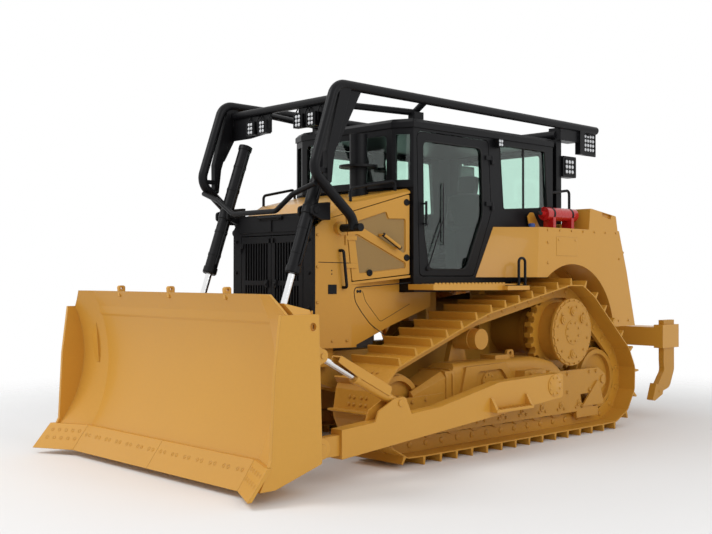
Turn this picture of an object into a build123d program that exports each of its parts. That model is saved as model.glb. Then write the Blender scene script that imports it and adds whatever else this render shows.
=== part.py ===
from build123d import *
import math
import os

# Crawler dozer with a raised drive sprocket, a push blade and a parallelogram ripper.
# Millimetres.  +X is forward, +Y is the operator's left, +Z is up, the ground is z = 0.
# Places are written from the sprocket axis and moved by ORIGIN_X when they are exported.

# ---------------------------------------------------------------- driving dimensions
GAP = 0.3                  # running clearance where two pieces seat
PANEL_GAP = 8              # gap round a door or lid

# undercarriage
GAUGE = 1880               # between track centre lines
SHOE_WIDTH = 560
SHOE_THICKNESS = 12
PITCH = 203                # pin to pin
GROUSER_HEIGHT = 65
GROUSER_BASE = 34
GROUSER_TIP = 16
LINK_OUT = 61              # pin line to the back of the shoe
LINK_IN = 57               # pin line to the tread that runs on rollers
LINK_THICKNESS = 40
BUSHING_R = 29
BUSHING_LENGTH = 96
SPROCKET_Z = 1020
SPROCKET_R = 404           # bushing circle
SPROCKET_TEETH = 25
SPROCKET_WIDTH = 74
TOOTH_HEIGHT = 16          # tooth tip above the bushing circle
DRUM_R = 290               # final drive drum
DRUM_FLANGE_R = 330
DRUM_OUTER = 1180
DRUM_FLANGE = 34
AXLE_R = 235
FRONT_IDLER_X = 2315
FRONT_IDLER_R = 335        # bushing circle
REAR_IDLER_X = -640
REAR_IDLER_R = 373         # bushing circle
CARRIER_X = 1330
CARRIER_Z = 1003
CARRIER_R = 108
ROLLER_R = 104
ROLLER_FLANGE = 22
ROLLER_COUNT = 8
ROLLER_FIRST_X = -220
ROLLER_LAST_X = 1930

# roller frame
FRAME_HALF = 160           # half width of the roller frame casing
GUARD_INNER = 120          # inner face of the roller guards, from the track's middle
CARRIER_POST = 104         # face of the carrier roller's post, from the track's middle
CASING_TOP = 800
CASING_BOTTOM = 430
CASING_ROUND = 85
FORK_TOP = 635
FORK_BOTTOM = 384

# body
RAIL_HALF = 420            # outer face of the main rails
RAIL_THICKNESS = 120
RAIL_TOP = 920
RAIL_BOTTOM = 620
CASE_HALF = 330
GUARD_HALF = 550           # half width of the radiator guard
GUARD_FRONT_X = 2850
GUARD_DEPTH = 90
GUARD_BOTTOM = 960
BADGE_BAR_TOP = 2110
CORE_THICKNESS = 160
GRILLE_HALF = 432          # opening of the two grille doors
GRILLE_BOTTOM = 1090
GRILLE_TOP = 1930
GRILLE_DOOR = 36
PANEL = 30                 # thickness of a door or side panel
ENCLOSURE_FRONT = 2820     # where the enclosure is as narrow as the guard
ENCLOSURE_TAPER = 0.232    # how much each side widens per length towards the cab
HOOD_SKIN = 8
HOOD_BREAK_X = 2520        # where the hood's slope steepens
SKIRT_Y = 630              # outside of the lower skirt
CAB_FRONT_X = 1880
CAB_REAR_X = -340
CAB_HALF = 800
CAB_WALL = 46
PLATFORM_Z = 1430          # underside of the cab floor
CAB_FLOOR_Z = 1500
CAB_ROOF_Z = 2895
ROOF_THICKNESS = 80
ROOF_PANEL = (-100, 1500, 500)  # rear x, front x, half width
ROOF_PANEL_RISE = 14
NOSE_X = 1965              # windshield
NOSE_HALF = 615
NOSE_Z = 2364              # underside of the nose above the hood
DOOR_THICKNESS = 45
GLASS = 6
FENDER_HALF = 1100
FENDER_TOP = 2045
WALKWAY_TOP = 1500
WALKWAY_DEPTH = 60
ARCH_X = -115              # centre and radius of the arch over the sprocket
ARCH_Z = 950
ARCH_R = 740
TANK_SADDLE_Z = 1440
TREAD_TEETH = 20
TREAD_STEP = 49
STACK_X = 2162
STACK_Y = 388
LAMP_PLATE_X = 2700        # front of the plate that carries the twin lamps
# work lamps on the left: x, y, z of the middle, half depth, half width, half height
LAMPS = [
    (LAMP_PLATE_X + GAP + 30, 250, 2918, 30, 60, 60),
    (LAMP_PLATE_X + GAP + 30, 420, 2918, 30, 60, 60),
    (720, CAB_HALF + GAP + 30, 2850, 40, 30, 40),
    (-450 - GAP - 115, 700, 2720, 115, 55, 110),
]

# hinges: radius of a knuckle, and the gap between a door's and its carrier's
CAB_HINGE = (795, CAB_HALF + 12, 11)
ENGINE_HINGE_X = 2534
ENGINE_HINGE_RISE = 5      # axis outside the panel
ENGINE_KNUCKLE_R = 9
GRILLE_HINGE = (GUARD_FRONT_X + 5, 428, 6)
KNUCKLE = 40               # height of one knuckle
# feet of the carrier's knuckles; the door's sit on top of them
CAB_HINGE_Z = (2200, 2640)
ENGINE_HINGE_Z = (1600, 1840)
GRILLE_HINGE_Z = (1200, 1780)

SWEEP_R = 42
SWEEP_Y = 780
SWEEP_PIVOT_X = 2592       # stub that carries the foot of the sweep
SWEEP_PIVOT_Y = 640
SWEEP_PIVOT_Z = 1980

# push frame and blade
TRUNNION_X = 640
TRUNNION_Z = 560
ARM_INNER = 1300
ARM_OUTER = 1420
BALL_R = 66
BALL_BORE = 84
STUB_R = 42
FRONT_PIN_X = 3520
FRONT_PIN_Z = 306
FRONT_PIN_R = 36
EAR_THICKNESS = 28
ARM_TONGUE = 70            # thickness of the arm's front tongue
BLADE_HALF = 1530          # outside of the side plates
SIDE_PLATE_Y = 1500        # inside of the side plates
BLADE_PLATE = 24
BLADE_WEBS = (-960, -300, 300, 960)
CREASE_HALF = 1190         # where the wings begin
EDGE_THICKNESS = 30
TIP_X = 4309
TIP_HALF = 1557
TIP_Z = 50

# lift cylinders
YOKE_X = 2914
YOKE_Z = 2120
LIFT_Y = 580
LIFT_EYE_X = 3440
LIFT_EYE_Z = 620
LIFT_BARREL_R = 57
LIFT_ROD_R = 29
YOKE_PIN_R = 24
LIFT_BELOW = 560           # barrel below its yoke
LIFT_ABOVE = 690           # barrel above its yoke
LIFT_ROD_LENGTH = 1442
LIFT_EAR_GAP = 80          # from the rod's middle to each ear of the blade

# tilt cylinders
TILT_Y = (ARM_INNER + ARM_OUTER) / 2
TILT_EYE_X = 2685
TILT_EYE_Z = 571
TILT_ROD_EYE_X = 3500
TILT_ROD_EYE_Z = 985
TILT_BARREL_R = 40
TILT_ROD_R = 24
TILT_BARREL_LENGTH = 520
TILT_PIN_R = 22            # on the arm
TILT_BLADE_PIN_R = 20
TILT_DRIFT = 5             # play of the rod's eye on the blade's pin

# ripper
RIP_PIVOT_X = -930         # lower link on its bracket
RIP_PIVOT_Z = 700
RIP_PIN_X = -1715          # lower link on the beam
RIP_PIN_Z = 790
RIP_RISE = 310             # upper link above the lower one
RIP_LINK_HALF = 42         # half height of a link
RIP_PIN_R = 26
RIP_BEAM_FRONT = -1790
RIP_BEAM_REAR = -2136
RIP_BEAM_BOTTOM = 790
RIP_BEAM_TOP = 1000
RIP_BEAM_HALF = 1120
RIP_LINK_Y = 310           # middle of each link
RIP_LINK_WIDTH = 52
RIP_CYLINDER_Y = 175
RIP_CYLINDER_X = -900      # cylinder on its bracket
RIP_CYLINDER_Z = 1110
RIP_LUG_REACH = 556        # rod's eye behind and above the lower link's pivot
RIP_LUG_RISE = 164
RIP_BARREL_R = 44
RIP_ROD_R = 22
RIP_GLAND = 430            # barrel from its pin to its gland
RIP_ROD_LENGTH = 438
SHANKS = (-1085, 0, 1085)
SHANK_THICKNESS = 62
SHANK_FRONT = -1834
SHANK_REAR = -2060

TRACK_Y = GAUGE / 2
TRACK_INNER = TRACK_Y - SHOE_WIDTH / 2
TRACK_OUTER = TRACK_Y + SHOE_WIDTH / 2
PIN_Z = GROUSER_HEIGHT + SHOE_THICKNESS + LINK_OUT      # pin line of the ground run
ROLLER_Z = PIN_Z + LINK_IN + ROLLER_R + GAP
ORIGIN_X = (TIP_X + RIP_BEAM_REAR) / 2


# ---------------------------------------------------------------- helpers
def block(x0, x1, y0, y1, z0, z1):
    """Axis-aligned block from its limits."""
    size = Box(x1 - x0, y1 - y0, z1 - z0)
    return Pos((x0 + x1) / 2, (y0 + y1) / 2, (z0 + z1) / 2) * size


def outline(points):
    """Closed flat outline; a point with a third value is rounded by that radius."""
    turns = zip(points, points[1:] + points[:1])
    if sum(a[0] * b[1] - b[0] * a[1] for a, b in turns) < 0:
        points = points[::-1]
    face = Polygon(*[(p[0], p[1]) for p in points], align=None)
    for p in points:
        if len(p) > 2:
            corner = face.vertices().sort_by_distance((p[0], p[1], 0))[0]
            face = fillet(corner, p[2])
    return face


def side_plate(points, y0, y1):
    """Outline given as (x, z), as thick as y0 to y1."""
    plane = Plane(origin=(0, y1, 0), x_dir=(1, 0, 0), z_dir=(0, -1, 0))
    return extrude(plane * outline(points), y1 - y0)


def front_plate(points, x0, x1):
    """Outline given as (y, z), as thick as x0 to x1."""
    plane = Plane(origin=(x0, 0, 0), x_dir=(0, 1, 0), z_dir=(1, 0, 0))
    return extrude(plane * outline(points), x1 - x0)


def floor_plate(points, z0, z1):
    """Outline given as (x, y), as thick as z0 to z1."""
    return extrude(Pos(0, 0, z0) * outline(points), z1 - z0)


def disc(x, z, r, y0, y1):
    """Round bar along Y."""
    return Pos(x, (y0 + y1) / 2, z) * Rot(90, 0, 0) * Cylinder(r, y1 - y0)


def bar(a, b, r):
    """Round bar between two points."""
    a = Vector(*a)
    b = Vector(*b)
    return extrude(Plane(origin=a, z_dir=(b - a)) * Circle(r), (b - a).length)


def tube(points, bend, r):
    """Bent round bar through points, with one bend radius."""
    path = FilletPolyline(*points, radius=bend)
    return sweep(Plane(origin=path @ 0, z_dir=path % 0) * Circle(r), path=path)


def mirrored(shape):
    """The same piece on the machine's right."""
    return mirror(shape, about=Plane.XZ)


def both(shape):
    """A piece and its mirror image, as solids of one node."""
    return Compound(children=list(shape.solids()) + list(mirrored(shape).solids()))


def group(*shapes):
    """Separate solids that share a node."""
    return Compound(children=[s for shape in shapes for s in shape.solids()])


def save(name, shape):
    """Write a piece, moved so that x = 0 is the middle of the machine."""
    solids = [Pos(-ORIGIN_X, 0, 0) * solid for solid in shape.solids()]
    piece = solids[0] if len(solids) == 1 else Compound(solids)
    export_step(piece, "parts/" + name + ".step")


def save_pair(name, shape):
    """Write a left piece and its mirror image as two nodes."""
    save(name + "_left", shape)
    save(name + "_right", mirrored(shape))


# ---------------------------------------------------------------- track
# circles that the pin line wraps, in order along the top from the rear: x, z, radius
TRACK_CIRCLES = [
    (0, SPROCKET_Z, SPROCKET_R),
    (CARRIER_X, CARRIER_Z, CARRIER_R + LINK_IN),
    (FRONT_IDLER_X, PIN_Z + FRONT_IDLER_R, FRONT_IDLER_R),
    (REAR_IDLER_X, PIN_Z + REAR_IDLER_R, REAR_IDLER_R),
]


def tangent_angle(a, b):
    """Angle at which the outer tangent from circle a to circle b touches them."""
    run = math.hypot(b[0] - a[0], b[1] - a[1])
    heading = math.atan2(b[1] - a[1], b[0] - a[0])
    return heading + math.pi / 2 - math.asin((a[2] - b[2]) / run)


def on_circle(circle, angle):
    return (circle[0] + circle[2] * math.cos(angle), circle[1] + circle[2] * math.sin(angle))


def pin_path():
    """The pin line as arcs and straight runs, clockwise from the rear of the sprocket."""
    count = len(TRACK_CIRCLES)
    pieces = []
    for i, circle in enumerate(TRACK_CIRCLES):
        before = TRACK_CIRCLES[i - 1]
        after = TRACK_CIRCLES[(i + 1) % count]
        start = tangent_angle(before, circle)
        end = tangent_angle(circle, after)
        while end > start:
            end -= 2 * math.pi
        pieces.append(("arc", circle, start, end, circle[2] * (start - end)))
        a = on_circle(circle, end)
        b = on_circle(after, tangent_angle(circle, after))
        pieces.append(("run", a, b, None, math.hypot(b[0] - a[0], b[1] - a[1])))
    return pieces


def point_at(pieces, distance):
    for kind, first, second, third, length in pieces:
        if distance <= length:
            share = distance / length
            if kind == "arc":
                return on_circle(first, second + (third - second) * share)
            return (first[0] + (second[0] - first[0]) * share,
                    first[1] + (second[1] - first[1]) * share)
        distance -= length
    return point_at(pieces, distance)


def track_pins():
    """Pins at equal steps; one sits on the middle of the sprocket's wrap."""
    pieces = pin_path()
    total = sum(piece[4] for piece in pieces)
    count = round(total / PITCH)
    start = pieces[0][4] / 2
    return [point_at(pieces, (start + i * total / count) % total) for i in range(count)]


def offset_pin(before, pin, after, distance):
    """Pin moved outward along the bisector of its two links."""
    one = math.atan2(pin[1] - before[1], pin[0] - before[0])
    two = math.atan2(after[1] - pin[1], after[0] - pin[0])
    half = math.remainder(two - one, 2 * math.pi) / 2
    normal = one + half + math.pi / 2
    reach = distance / math.cos(half)
    return (pin[0] + reach * math.cos(normal), pin[1] + reach * math.sin(normal))


def offset_loop(pins, distance):
    count = len(pins)
    return [offset_pin(pins[i - 1], pins[i], pins[(i + 1) % count], distance)
            for i in range(count)]


def shoe_outline(pins):
    """Outside of the shoes with a tapered grouser near the leading edge of each."""
    points = []
    for i, pin in enumerate(pins):
        after = pins[(i + 1) % len(pins)]
        length = math.hypot(after[0] - pin[0], after[1] - pin[1])
        along = ((after[0] - pin[0]) / length, (after[1] - pin[1]) / length)
        outward = (-along[1], along[0])
        face = LINK_OUT + SHOE_THICKNESS
        taper = (GROUSER_BASE - GROUSER_TIP) / 2
        lead = length - GROUSER_BASE
        # distance along the shoe, distance out from the pin line
        for run, out in ((4, face), (lead, face), (lead + taper, face + GROUSER_HEIGHT),
                         (lead + taper + GROUSER_TIP, face + GROUSER_HEIGHT),
                         (length - 1, face)):
            points.append((pin[0] + along[0] * run + outward[0] * out,
                           pin[1] + along[1] * run + outward[1] * out))
    return points


def make_track():
    """One closed loop: shoes with grousers on two rows of links."""
    pins = track_pins()
    back = offset_loop(pins, LINK_OUT)
    tread = offset_loop(pins, -LINK_IN)
    y0, y1 = TRACK_INNER, TRACK_OUTER
    shoes = side_plate(shoe_outline(pins), y0, y1) - side_plate(back, y0 - 1, y1 + 1)
    row0 = BUSHING_LENGTH / 2
    row1 = row0 + LINK_THICKNESS
    links = side_plate(back, TRACK_Y - row1, TRACK_Y + row1)
    links -= side_plate(tread, TRACK_Y - row1 - 1, TRACK_Y + row1 + 1)
    links -= side_plate(back, TRACK_Y - row0, TRACK_Y + row0)
    return shoes + links


def make_sprocket():
    """Bolted toothed ring on a hub; every second gap carries a bushing."""
    pins = track_pins()
    first = math.atan2(pins[0][1] - SPROCKET_Z, pins[0][0])
    tip = SPROCKET_R + TOOTH_HEIGHT
    root = BUSHING_R + 5
    y0 = TRACK_Y - SPROCKET_WIDTH / 2
    y1 = TRACK_Y + SPROCKET_WIDTH / 2
    ring = disc(0, SPROCKET_Z, tip, y0, y1)
    gaps = []
    for i in range(SPROCKET_TEETH):
        angle = first + i * 2 * math.pi / SPROCKET_TEETH
        x, z = SPROCKET_R * math.cos(angle), SPROCKET_Z + SPROCKET_R * math.sin(angle)
        gaps.append(disc(x, z, root, y0 - 1, y1 + 1))
    return ring - gaps - disc(0, SPROCKET_Z, DRUM_R, y0 - 1, y1 + 1)


def make_final_drive():
    """Planetary drum outside the sprocket, with its bolted cover."""
    z = SPROCKET_Z
    drum = disc(0, z, DRUM_R, TRACK_Y - SPROCKET_WIDTH / 2, DRUM_OUTER - DRUM_FLANGE)
    cover = disc(0, z, DRUM_FLANGE_R, DRUM_OUTER - DRUM_FLANGE, DRUM_OUTER - 8)
    cover += disc(0, z, DRUM_FLANGE_R - 26, DRUM_OUTER - 8, DRUM_OUTER)
    hub = disc(0, z, AXLE_R + 30, TRACK_Y - 160, TRACK_Y - SPROCKET_WIDTH / 2)
    # angle, radius and reach of the bosses on the cover
    for angle, r, reach in ((90, 205, 14), (142, 205, 14), (38, 205, 14), (270, 215, 10)):
        x = r * math.cos(math.radians(angle))
        dz = r * math.sin(math.radians(angle))
        cover += disc(x, z + dz, 42, DRUM_OUTER - 1, DRUM_OUTER + reach)
    cover += disc(0, z, 120, DRUM_OUTER - 1, DRUM_OUTER + 5)
    return drum + cover + hub


def wheel_tread(r):
    """Largest tread that clears the straight links of a wrap of radius r."""
    return r * math.cos(math.asin(PITCH / 2 / r)) - LINK_IN - GAP


def make_idler(x, r):
    """Idler with two treads and a centre flange that guides the links."""
    z = PIN_Z + r
    tread = wheel_tread(r)
    row0 = BUSHING_LENGTH / 2
    row1 = row0 + LINK_THICKNESS
    wheel = disc(x, z, tread, TRACK_Y - row1, TRACK_Y + row1)
    wheel += disc(x, z, tread + 18, TRACK_Y - row0 + 6, TRACK_Y + row0 - 6)
    dish = disc(x, z, tread - 45, TRACK_Y + row0 - 6, TRACK_Y + row1 + 1)
    wheel -= [dish, mirror(dish, about=Plane.XZ.offset(-TRACK_Y))]
    hub = disc(x, z, 95, TRACK_Y - GUARD_INNER, TRACK_Y + GUARD_INNER)
    return wheel + hub


def make_roller(x):
    """Bottom roller: two treads, outer flanges and its shaft ends."""
    z = ROLLER_Z
    row0 = BUSHING_LENGTH / 2
    row1 = row0 + LINK_THICKNESS + 2
    body = disc(x, z, ROLLER_R, TRACK_Y - row1, TRACK_Y + row1)
    for side in (-1, 1):
        a = TRACK_Y + side * row1
        b = a + side * 16
        body += disc(x, z, ROLLER_R + ROLLER_FLANGE, min(a, b), max(a, b))
    return body + disc(x, z, 34, TRACK_Y - GUARD_INNER, TRACK_Y + GUARD_INNER)


def make_carrier():
    row1 = BUSHING_LENGTH / 2 + LINK_THICKNESS
    body = disc(CARRIER_X, CARRIER_Z, CARRIER_R - 8, TRACK_Y - row1, TRACK_Y + row1)
    body += disc(CARRIER_X, CARRIER_Z, CARRIER_R - 14, TRACK_Y + row1, TRACK_OUTER - 100)
    return body + disc(CARRIER_X, CARRIER_Z, 34, TRACK_Y - CARRIER_POST, TRACK_Y - row1)


# ---------------------------------------------------------------- roller frame
def make_track_frame():
    """Recoil casing, roller guards, idler forks, trunnion and carrier bracket."""
    y0, y1 = TRACK_Y - FRAME_HALF, TRACK_Y + FRAME_HALF
    section = [(y0, CASING_BOTTOM), (y0, CASING_TOP, CASING_ROUND),
               (y1, CASING_TOP, CASING_ROUND), (y1, CASING_BOTTOM)]
    side = [(90, CASING_BOTTOM), (90, 640, 60), (235, 735, 60), (480, CASING_TOP),
            (1640, CASING_TOP), (1700, 742), (1800, 742), (1800, CASING_BOTTOM)]
    casing = front_plate(section, 90, 1800) & side_plate(side, y0, y1)
    a = Plane(origin=(1800, TRACK_Y, 0), x_dir=(0, 1, 0), z_dir=(1, 0, 0))
    b = a.offset(390)
    wide = [(-FRAME_HALF, CASING_BOTTOM), (-FRAME_HALF, 690), (-FRAME_HALF + 52, 742),
            (FRAME_HALF - 52, 742), (FRAME_HALF, 690), (FRAME_HALF, CASING_BOTTOM)]
    slim = [(-140, CASING_BOTTOM + 20), (-140, 560), (-110, 590), (110, 590), (140, 560),
            (140, CASING_BOTTOM + 20)]
    nose = loft([a * outline(wide), b * outline(slim)], ruled=True)
    # ribs round the casing: x, width, how far they stand proud
    ribs = []
    for x, width, proud in ((1690, 26, 14), (1776, 22, 12)):
        top = 742 + proud
        ribs.append(front_plate([(y0 - proud, CASING_BOTTOM), (y0 - proud, top, 70),
                                 (y1 + proud, top, 70), (y1 + proud, CASING_BOTTOM)],
                                x, x + width))
    frame = casing + nose + ribs
    frame += block(808, 1022, TRACK_Y - 90, TRACK_Y + 90, CASING_TOP - 5, 836)
    hook = side_plate([(640, CASING_TOP - 10), (655, 872, 25), (745, 872, 25),
                       (760, CASING_TOP - 10)], TRACK_Y - 14, TRACK_Y + 14)
    hook -= disc(700, CASING_TOP + 38, 18, TRACK_Y - 20, TRACK_Y + 20)
    frame += hook
    # outer and inner guards beside the rollers, and the forks of the idlers
    for sign in (-1, 1):
        a = TRACK_Y + sign * GUARD_INNER
        b = TRACK_Y + sign * FRAME_HALF
        lo, hi = min(a, b), max(a, b)
        guard = [(-250, 235), (-250, CASING_BOTTOM + 2), (1985, CASING_BOTTOM + 2),
                 (1985, 235), (1900, 215), (-160, 215)]
        frame += side_plate(guard, lo, hi)
        front = [(1780, CASING_BOTTOM), (1780, 560), (2330, 545, 30), (2400, 500, 30),
                 (2400, 440, 30), (2330, 400, 30), (1960, CASING_BOTTOM - 30)]
        frame += side_plate(front, lo, hi)
        rear = [(100, FORK_BOTTOM), (100, FORK_TOP), (-560, FORK_TOP, 25), (-700, 560, 60),
                (-700, 460, 60), (-560, FORK_BOTTOM)]
        frame += side_plate(rear, lo, hi)
    for x, r in ((FRONT_IDLER_X, FRONT_IDLER_R), (REAR_IDLER_X, REAR_IDLER_R)):
        frame += disc(x, PIN_Z + r, 40, TRACK_Y + FRAME_HALF - 1, TRACK_Y + FRAME_HALF + 12)
    for i in range(ROLLER_COUNT):
        frame += disc(roller_x(i), ROLLER_Z, 34, TRACK_Y + FRAME_HALF - 1,
                      TRACK_Y + FRAME_HALF + 8)
    # triangular gusset and guide guard at the rear idler
    y2 = TRACK_Y + FRAME_HALF
    gusset = [(-260, 262), (-520, 500, 12), (-560, 500, 12), (-640, 262)]
    frame += side_plate(gusset, y2 - 2, y2 + 18)
    frame += side_plate([(-180, 150), (-180, 245), (-560, 245), (-560, 150)], y2 - 38, y2)
    frame += side_plate([(-300, 240), (-260, 290), (-500, 290), (-460, 240)], y2 - 38, y2)
    # arched bracket with a cleaning plug
    arch = [(1640, CASING_BOTTOM), (1545, 765, 20), (975, 775, 30), (880, 620, 40),
            (872, CASING_BOTTOM)]
    window = [(1450, 500, 20), (1390, 715, 60), (1050, 722, 60), (955, 620, 40),
              (950, 500, 20)]
    frame += side_plate(arch, y2 - 2, y2 + 26) - side_plate(window, y2 - 3, y2 + 30)
    frame += disc(1230, 615, 84, y2 - 2, y2 + 22)
    # boss of the pivot shaft and the stub that carries the push arm's ball
    frame += disc(330, 585, 75, y2 - 2, y2 + 60)
    seat = [(TRUNNION_X - 190, 430), (TRUNNION_X - 150, 690), (TRUNNION_X + 170, 690),
            (TRUNNION_X + 210, 430)]
    frame += side_plate(seat, y2 - 2, ARM_INNER - 90)
    frame += disc(TRUNNION_X, TRUNNION_Z, 105, y2, ARM_INNER - 50)
    frame += disc(TRUNNION_X, TRUNNION_Z, STUB_R, y2, ARM_OUTER - 38)
    frame += disc(TRUNNION_X, TRUNNION_Z, 24, ARM_OUTER - 39, ARM_OUTER - 20 - GAP)
    # bracket of the carrier roller
    post = [(CARRIER_X - 130, CASING_TOP - 8), (CARRIER_X - 45, CARRIER_Z + 45, 40),
            (CARRIER_X + 45, CARRIER_Z + 45, 40), (CARRIER_X + 130, CASING_TOP - 8)]
    frame += side_plate(post, TRACK_Y - FRAME_HALF, TRACK_Y - CARRIER_POST)
    # room for the wheels
    frame -= disc(0, SPROCKET_Z, SPROCKET_R + TOOTH_HEIGHT + 16, TRACK_Y - 60, TRACK_Y + 60)
    frame -= disc(0, SPROCKET_Z, DRUM_FLANGE_R + 20, TRACK_Y - 200, DRUM_OUTER + 40)
    for x, r in ((FRONT_IDLER_X, FRONT_IDLER_R), (REAR_IDLER_X, REAR_IDLER_R)):
        frame -= disc(x, PIN_Z + r, wheel_tread(r) + 30, TRACK_Y - 96, TRACK_Y + 96)
    return frame


def roller_x(i):
    return ROLLER_FIRST_X + i * (ROLLER_LAST_X - ROLLER_FIRST_X) / (ROLLER_COUNT - 1)


# ---------------------------------------------------------------- frame and power train
def make_main_frame():
    """Two box rails with crossmembers, platform posts and the guard's feet."""
    inner = RAIL_HALF - RAIL_THICKNESS
    rail = side_plate([(350, RAIL_BOTTOM), (350, RAIL_TOP + 180), (900, RAIL_TOP + 180),
                       (1050, RAIL_TOP), (GUARD_FRONT_X - GUARD_DEPTH, RAIL_TOP),
                       (GUARD_FRONT_X - GUARD_DEPTH, RAIL_BOTTOM + 90),
                       (2500, RAIL_BOTTOM)], inner, RAIL_HALF)
    frame = rail + mirrored(rail)
    # crossmembers: x from, x to, z from, z to
    for x0, x1, z0, z1 in ((350, 560, 700, 1000), (1650, 1850, 730, 900),
                           (GUARD_FRONT_X - GUARD_DEPTH - 170, GUARD_FRONT_X - GUARD_DEPTH,
                            RAIL_BOTTOM + 90, RAIL_TOP)):
        frame += block(x0, x1, -inner - 1, inner + 1, z0, z1)
    # posts that carry the cab platform: x, half width along x
    for x, half in ((520, 70), (1300, 70)):
        post = side_plate([(x - half, RAIL_TOP - 60), (x - half, PLATFORM_Z),
                           (x + half, PLATFORM_Z), (x + half, RAIL_TOP - 60)],
                          RAIL_HALF - 60, RAIL_HALF + 60)
        frame += [post, mirrored(post)]
    foot = block(GUARD_FRONT_X - GUARD_DEPTH - 170, GUARD_FRONT_X, RAIL_HALF - 20,
                 GUARD_HALF - PANEL, RAIL_TOP - 120, GUARD_BOTTOM)
    return frame + [foot, mirrored(foot)]


def make_rear_case():
    """Case of the transmission and bevel gear with the tubes of the final drives."""
    profile = [(-800, 600, 40), (-800, 1290, 60), (-300, 1400, 80), (349, 1330, 60), (349, 600)]
    case = side_plate(profile, -CASE_HALF, CASE_HALF)
    reach = TRACK_Y - 160
    case += disc(0, SPROCKET_Z, AXLE_R, -reach, reach)
    case += disc(0, SPROCKET_Z, AXLE_R + 40, -reach, -reach + 50)
    case += disc(0, SPROCKET_Z, AXLE_R + 40, reach - 50, reach)
    pivot = disc(330, 585, 60, RAIL_HALF, TRACK_Y - FRAME_HALF)
    saddle = block(230, 430, CASE_HALF - 2, RAIL_HALF, 520, RAIL_BOTTOM)
    return case + [pivot + saddle, mirrored(pivot + saddle)]


def make_engine():
    """Engine as one plain block, and the radiator core behind the guard."""
    half = RAIL_HALF - RAIL_THICKNESS - GAP
    engine = block(CAB_FRONT_X + 15, 2545, -half, half, RAIL_TOP - 60, 1800)
    core_front = GUARD_FRONT_X - GUARD_DEPTH - 20
    core = block(core_front - CORE_THICKNESS, core_front, -395, 395, RAIL_TOP + GAP, 1960)
    return group(engine, core)


def make_belly_guard():
    floor = block(-700, 2500, -RAIL_HALF, RAIL_HALF, RAIL_BOTTOM - 24, RAIL_BOTTOM)
    floor -= block(200, 460, CASE_HALF - 20, RAIL_HALF + 1, RAIL_BOTTOM - 30, RAIL_BOTTOM + 1)
    floor -= block(200, 460, -RAIL_HALF - 1, -CASE_HALF + 20, RAIL_BOTTOM - 30,
                   RAIL_BOTTOM + 1)
    floor -= block(-710, 349, -CASE_HALF, CASE_HALF, RAIL_BOTTOM - 30, RAIL_BOTTOM + 1)
    keel = side_plate([(-700, 560, 20), (-700, 599.7), (349, 599.7), (349, 560)],
                      -CASE_HALF + 3, CASE_HALF - 3)
    ramp = side_plate([(2500, RAIL_BOTTOM - 24), (2500, RAIL_BOTTOM),
                       (GUARD_FRONT_X - GUARD_DEPTH, RAIL_BOTTOM + 90),
                       (GUARD_FRONT_X - GUARD_DEPTH, RAIL_BOTTOM + 66)],
                      -RAIL_HALF, RAIL_HALF)
    return floor + ramp + keel


def make_equalizer():
    """Bar across the frame that lets the front of each roller frame rise and fall."""
    reach = TRACK_Y - FRAME_HALF
    bar_body = front_plate([(-reach, 500, 20), (-reach, 585, 20), (-200, 594, 40),
                            (200, 594, 40), (reach, 585, 20), (reach, 500, 20),
                            (250, 470, 40), (-250, 470, 40)], 1805, 1925)
    return bar_body


# ---------------------------------------------------------------- engine enclosure
def half_at(x):
    """Half width of the engine enclosure, which narrows towards the guard."""
    return GUARD_HALF + ENCLOSURE_TAPER * (ENCLOSURE_FRONT - x)


def enclosure_strip(outside, thickness):
    """Plan strip along the left side: how far inside the surface, and how thick."""
    a, b = CAB_FRONT_X - 400, ENCLOSURE_FRONT + 60
    lean = math.hypot(1, ENCLOSURE_TAPER)
    o0, o1 = outside * lean, (outside + thickness) * lean
    return [(a, half_at(a) - o0), (b, half_at(b) - o0), (b, half_at(b) - o1),
            (a, half_at(a) - o1)]


def side_panel(points, outside=0, thickness=None):
    """Flat panel on the left side of the enclosure, its outline given as (x, z)."""
    strip = floor_plate(enclosure_strip(outside, thickness or PANEL), 900, 2500)
    return side_plate(points, 300, 1000) & strip


HOOD_REAR_X = CAB_FRONT_X + PANEL_GAP
# engine door, (x, z) from its front top corner, and its two recessed screens
ENGINE_DOOR = [(2530, 2105, 12), (HOOD_REAR_X + PANEL_GAP, 2298, 12),
               (HOOD_REAR_X + PANEL_GAP, 1590, 12), (2468, 1530, 12)]
UPPER_SCREEN = [(2452, 2035, 20), (2130, 2140, 20), (2110, 2078, 20), (1935, 2080, 20),
                (1935, 1765, 20)]
LOWER_SCREEN = [(2448, 1950, 20), (1935, 1690, 20), (1935, 1640, 20), (2400, 1592, 20)]
# hood sections: x, side's foot, shoulder, top, how far the top is drawn in
HOOD_SECTIONS = [
    (HOOD_REAR_X, 2308, 2326, 2352, 45),
    (HOOD_BREAK_X, 2116, 2190, 2221, 60),
    (GUARD_FRONT_X - GUARD_DEPTH, 2040, 2066, 2098, 60),
]


def hood_hull(inset):
    """The hood as a closed body, its skin drawn in by the inset."""
    sections = []
    for x, foot, shoulder, top, draw in HOOD_SECTIONS:
        half = half_at(x) - inset
        plane = Plane(origin=(x, 0, 0), x_dir=(0, 1, 0), z_dir=(1, 0, 0))
        drop = foot - 40 * min(inset, 1)
        sections.append(plane * outline([
            (-half, drop), (-half, shoulder - inset), (-half + draw, top - inset),
            (half - draw, top - inset), (half, shoulder - inset), (half, drop)]))
    return loft(sections, ruled=True)


def make_hood():
    """Sheet hood that slopes to the guard, open below."""
    ends = HOOD_SECTIONS[0][0] + HOOD_SKIN, HOOD_SECTIONS[-1][0] - HOOD_SKIN
    room = hood_hull(HOOD_SKIN) & block(ends[0], ends[1], -900, 900, 1900, 2400)
    return hood_hull(0) - room


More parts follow.
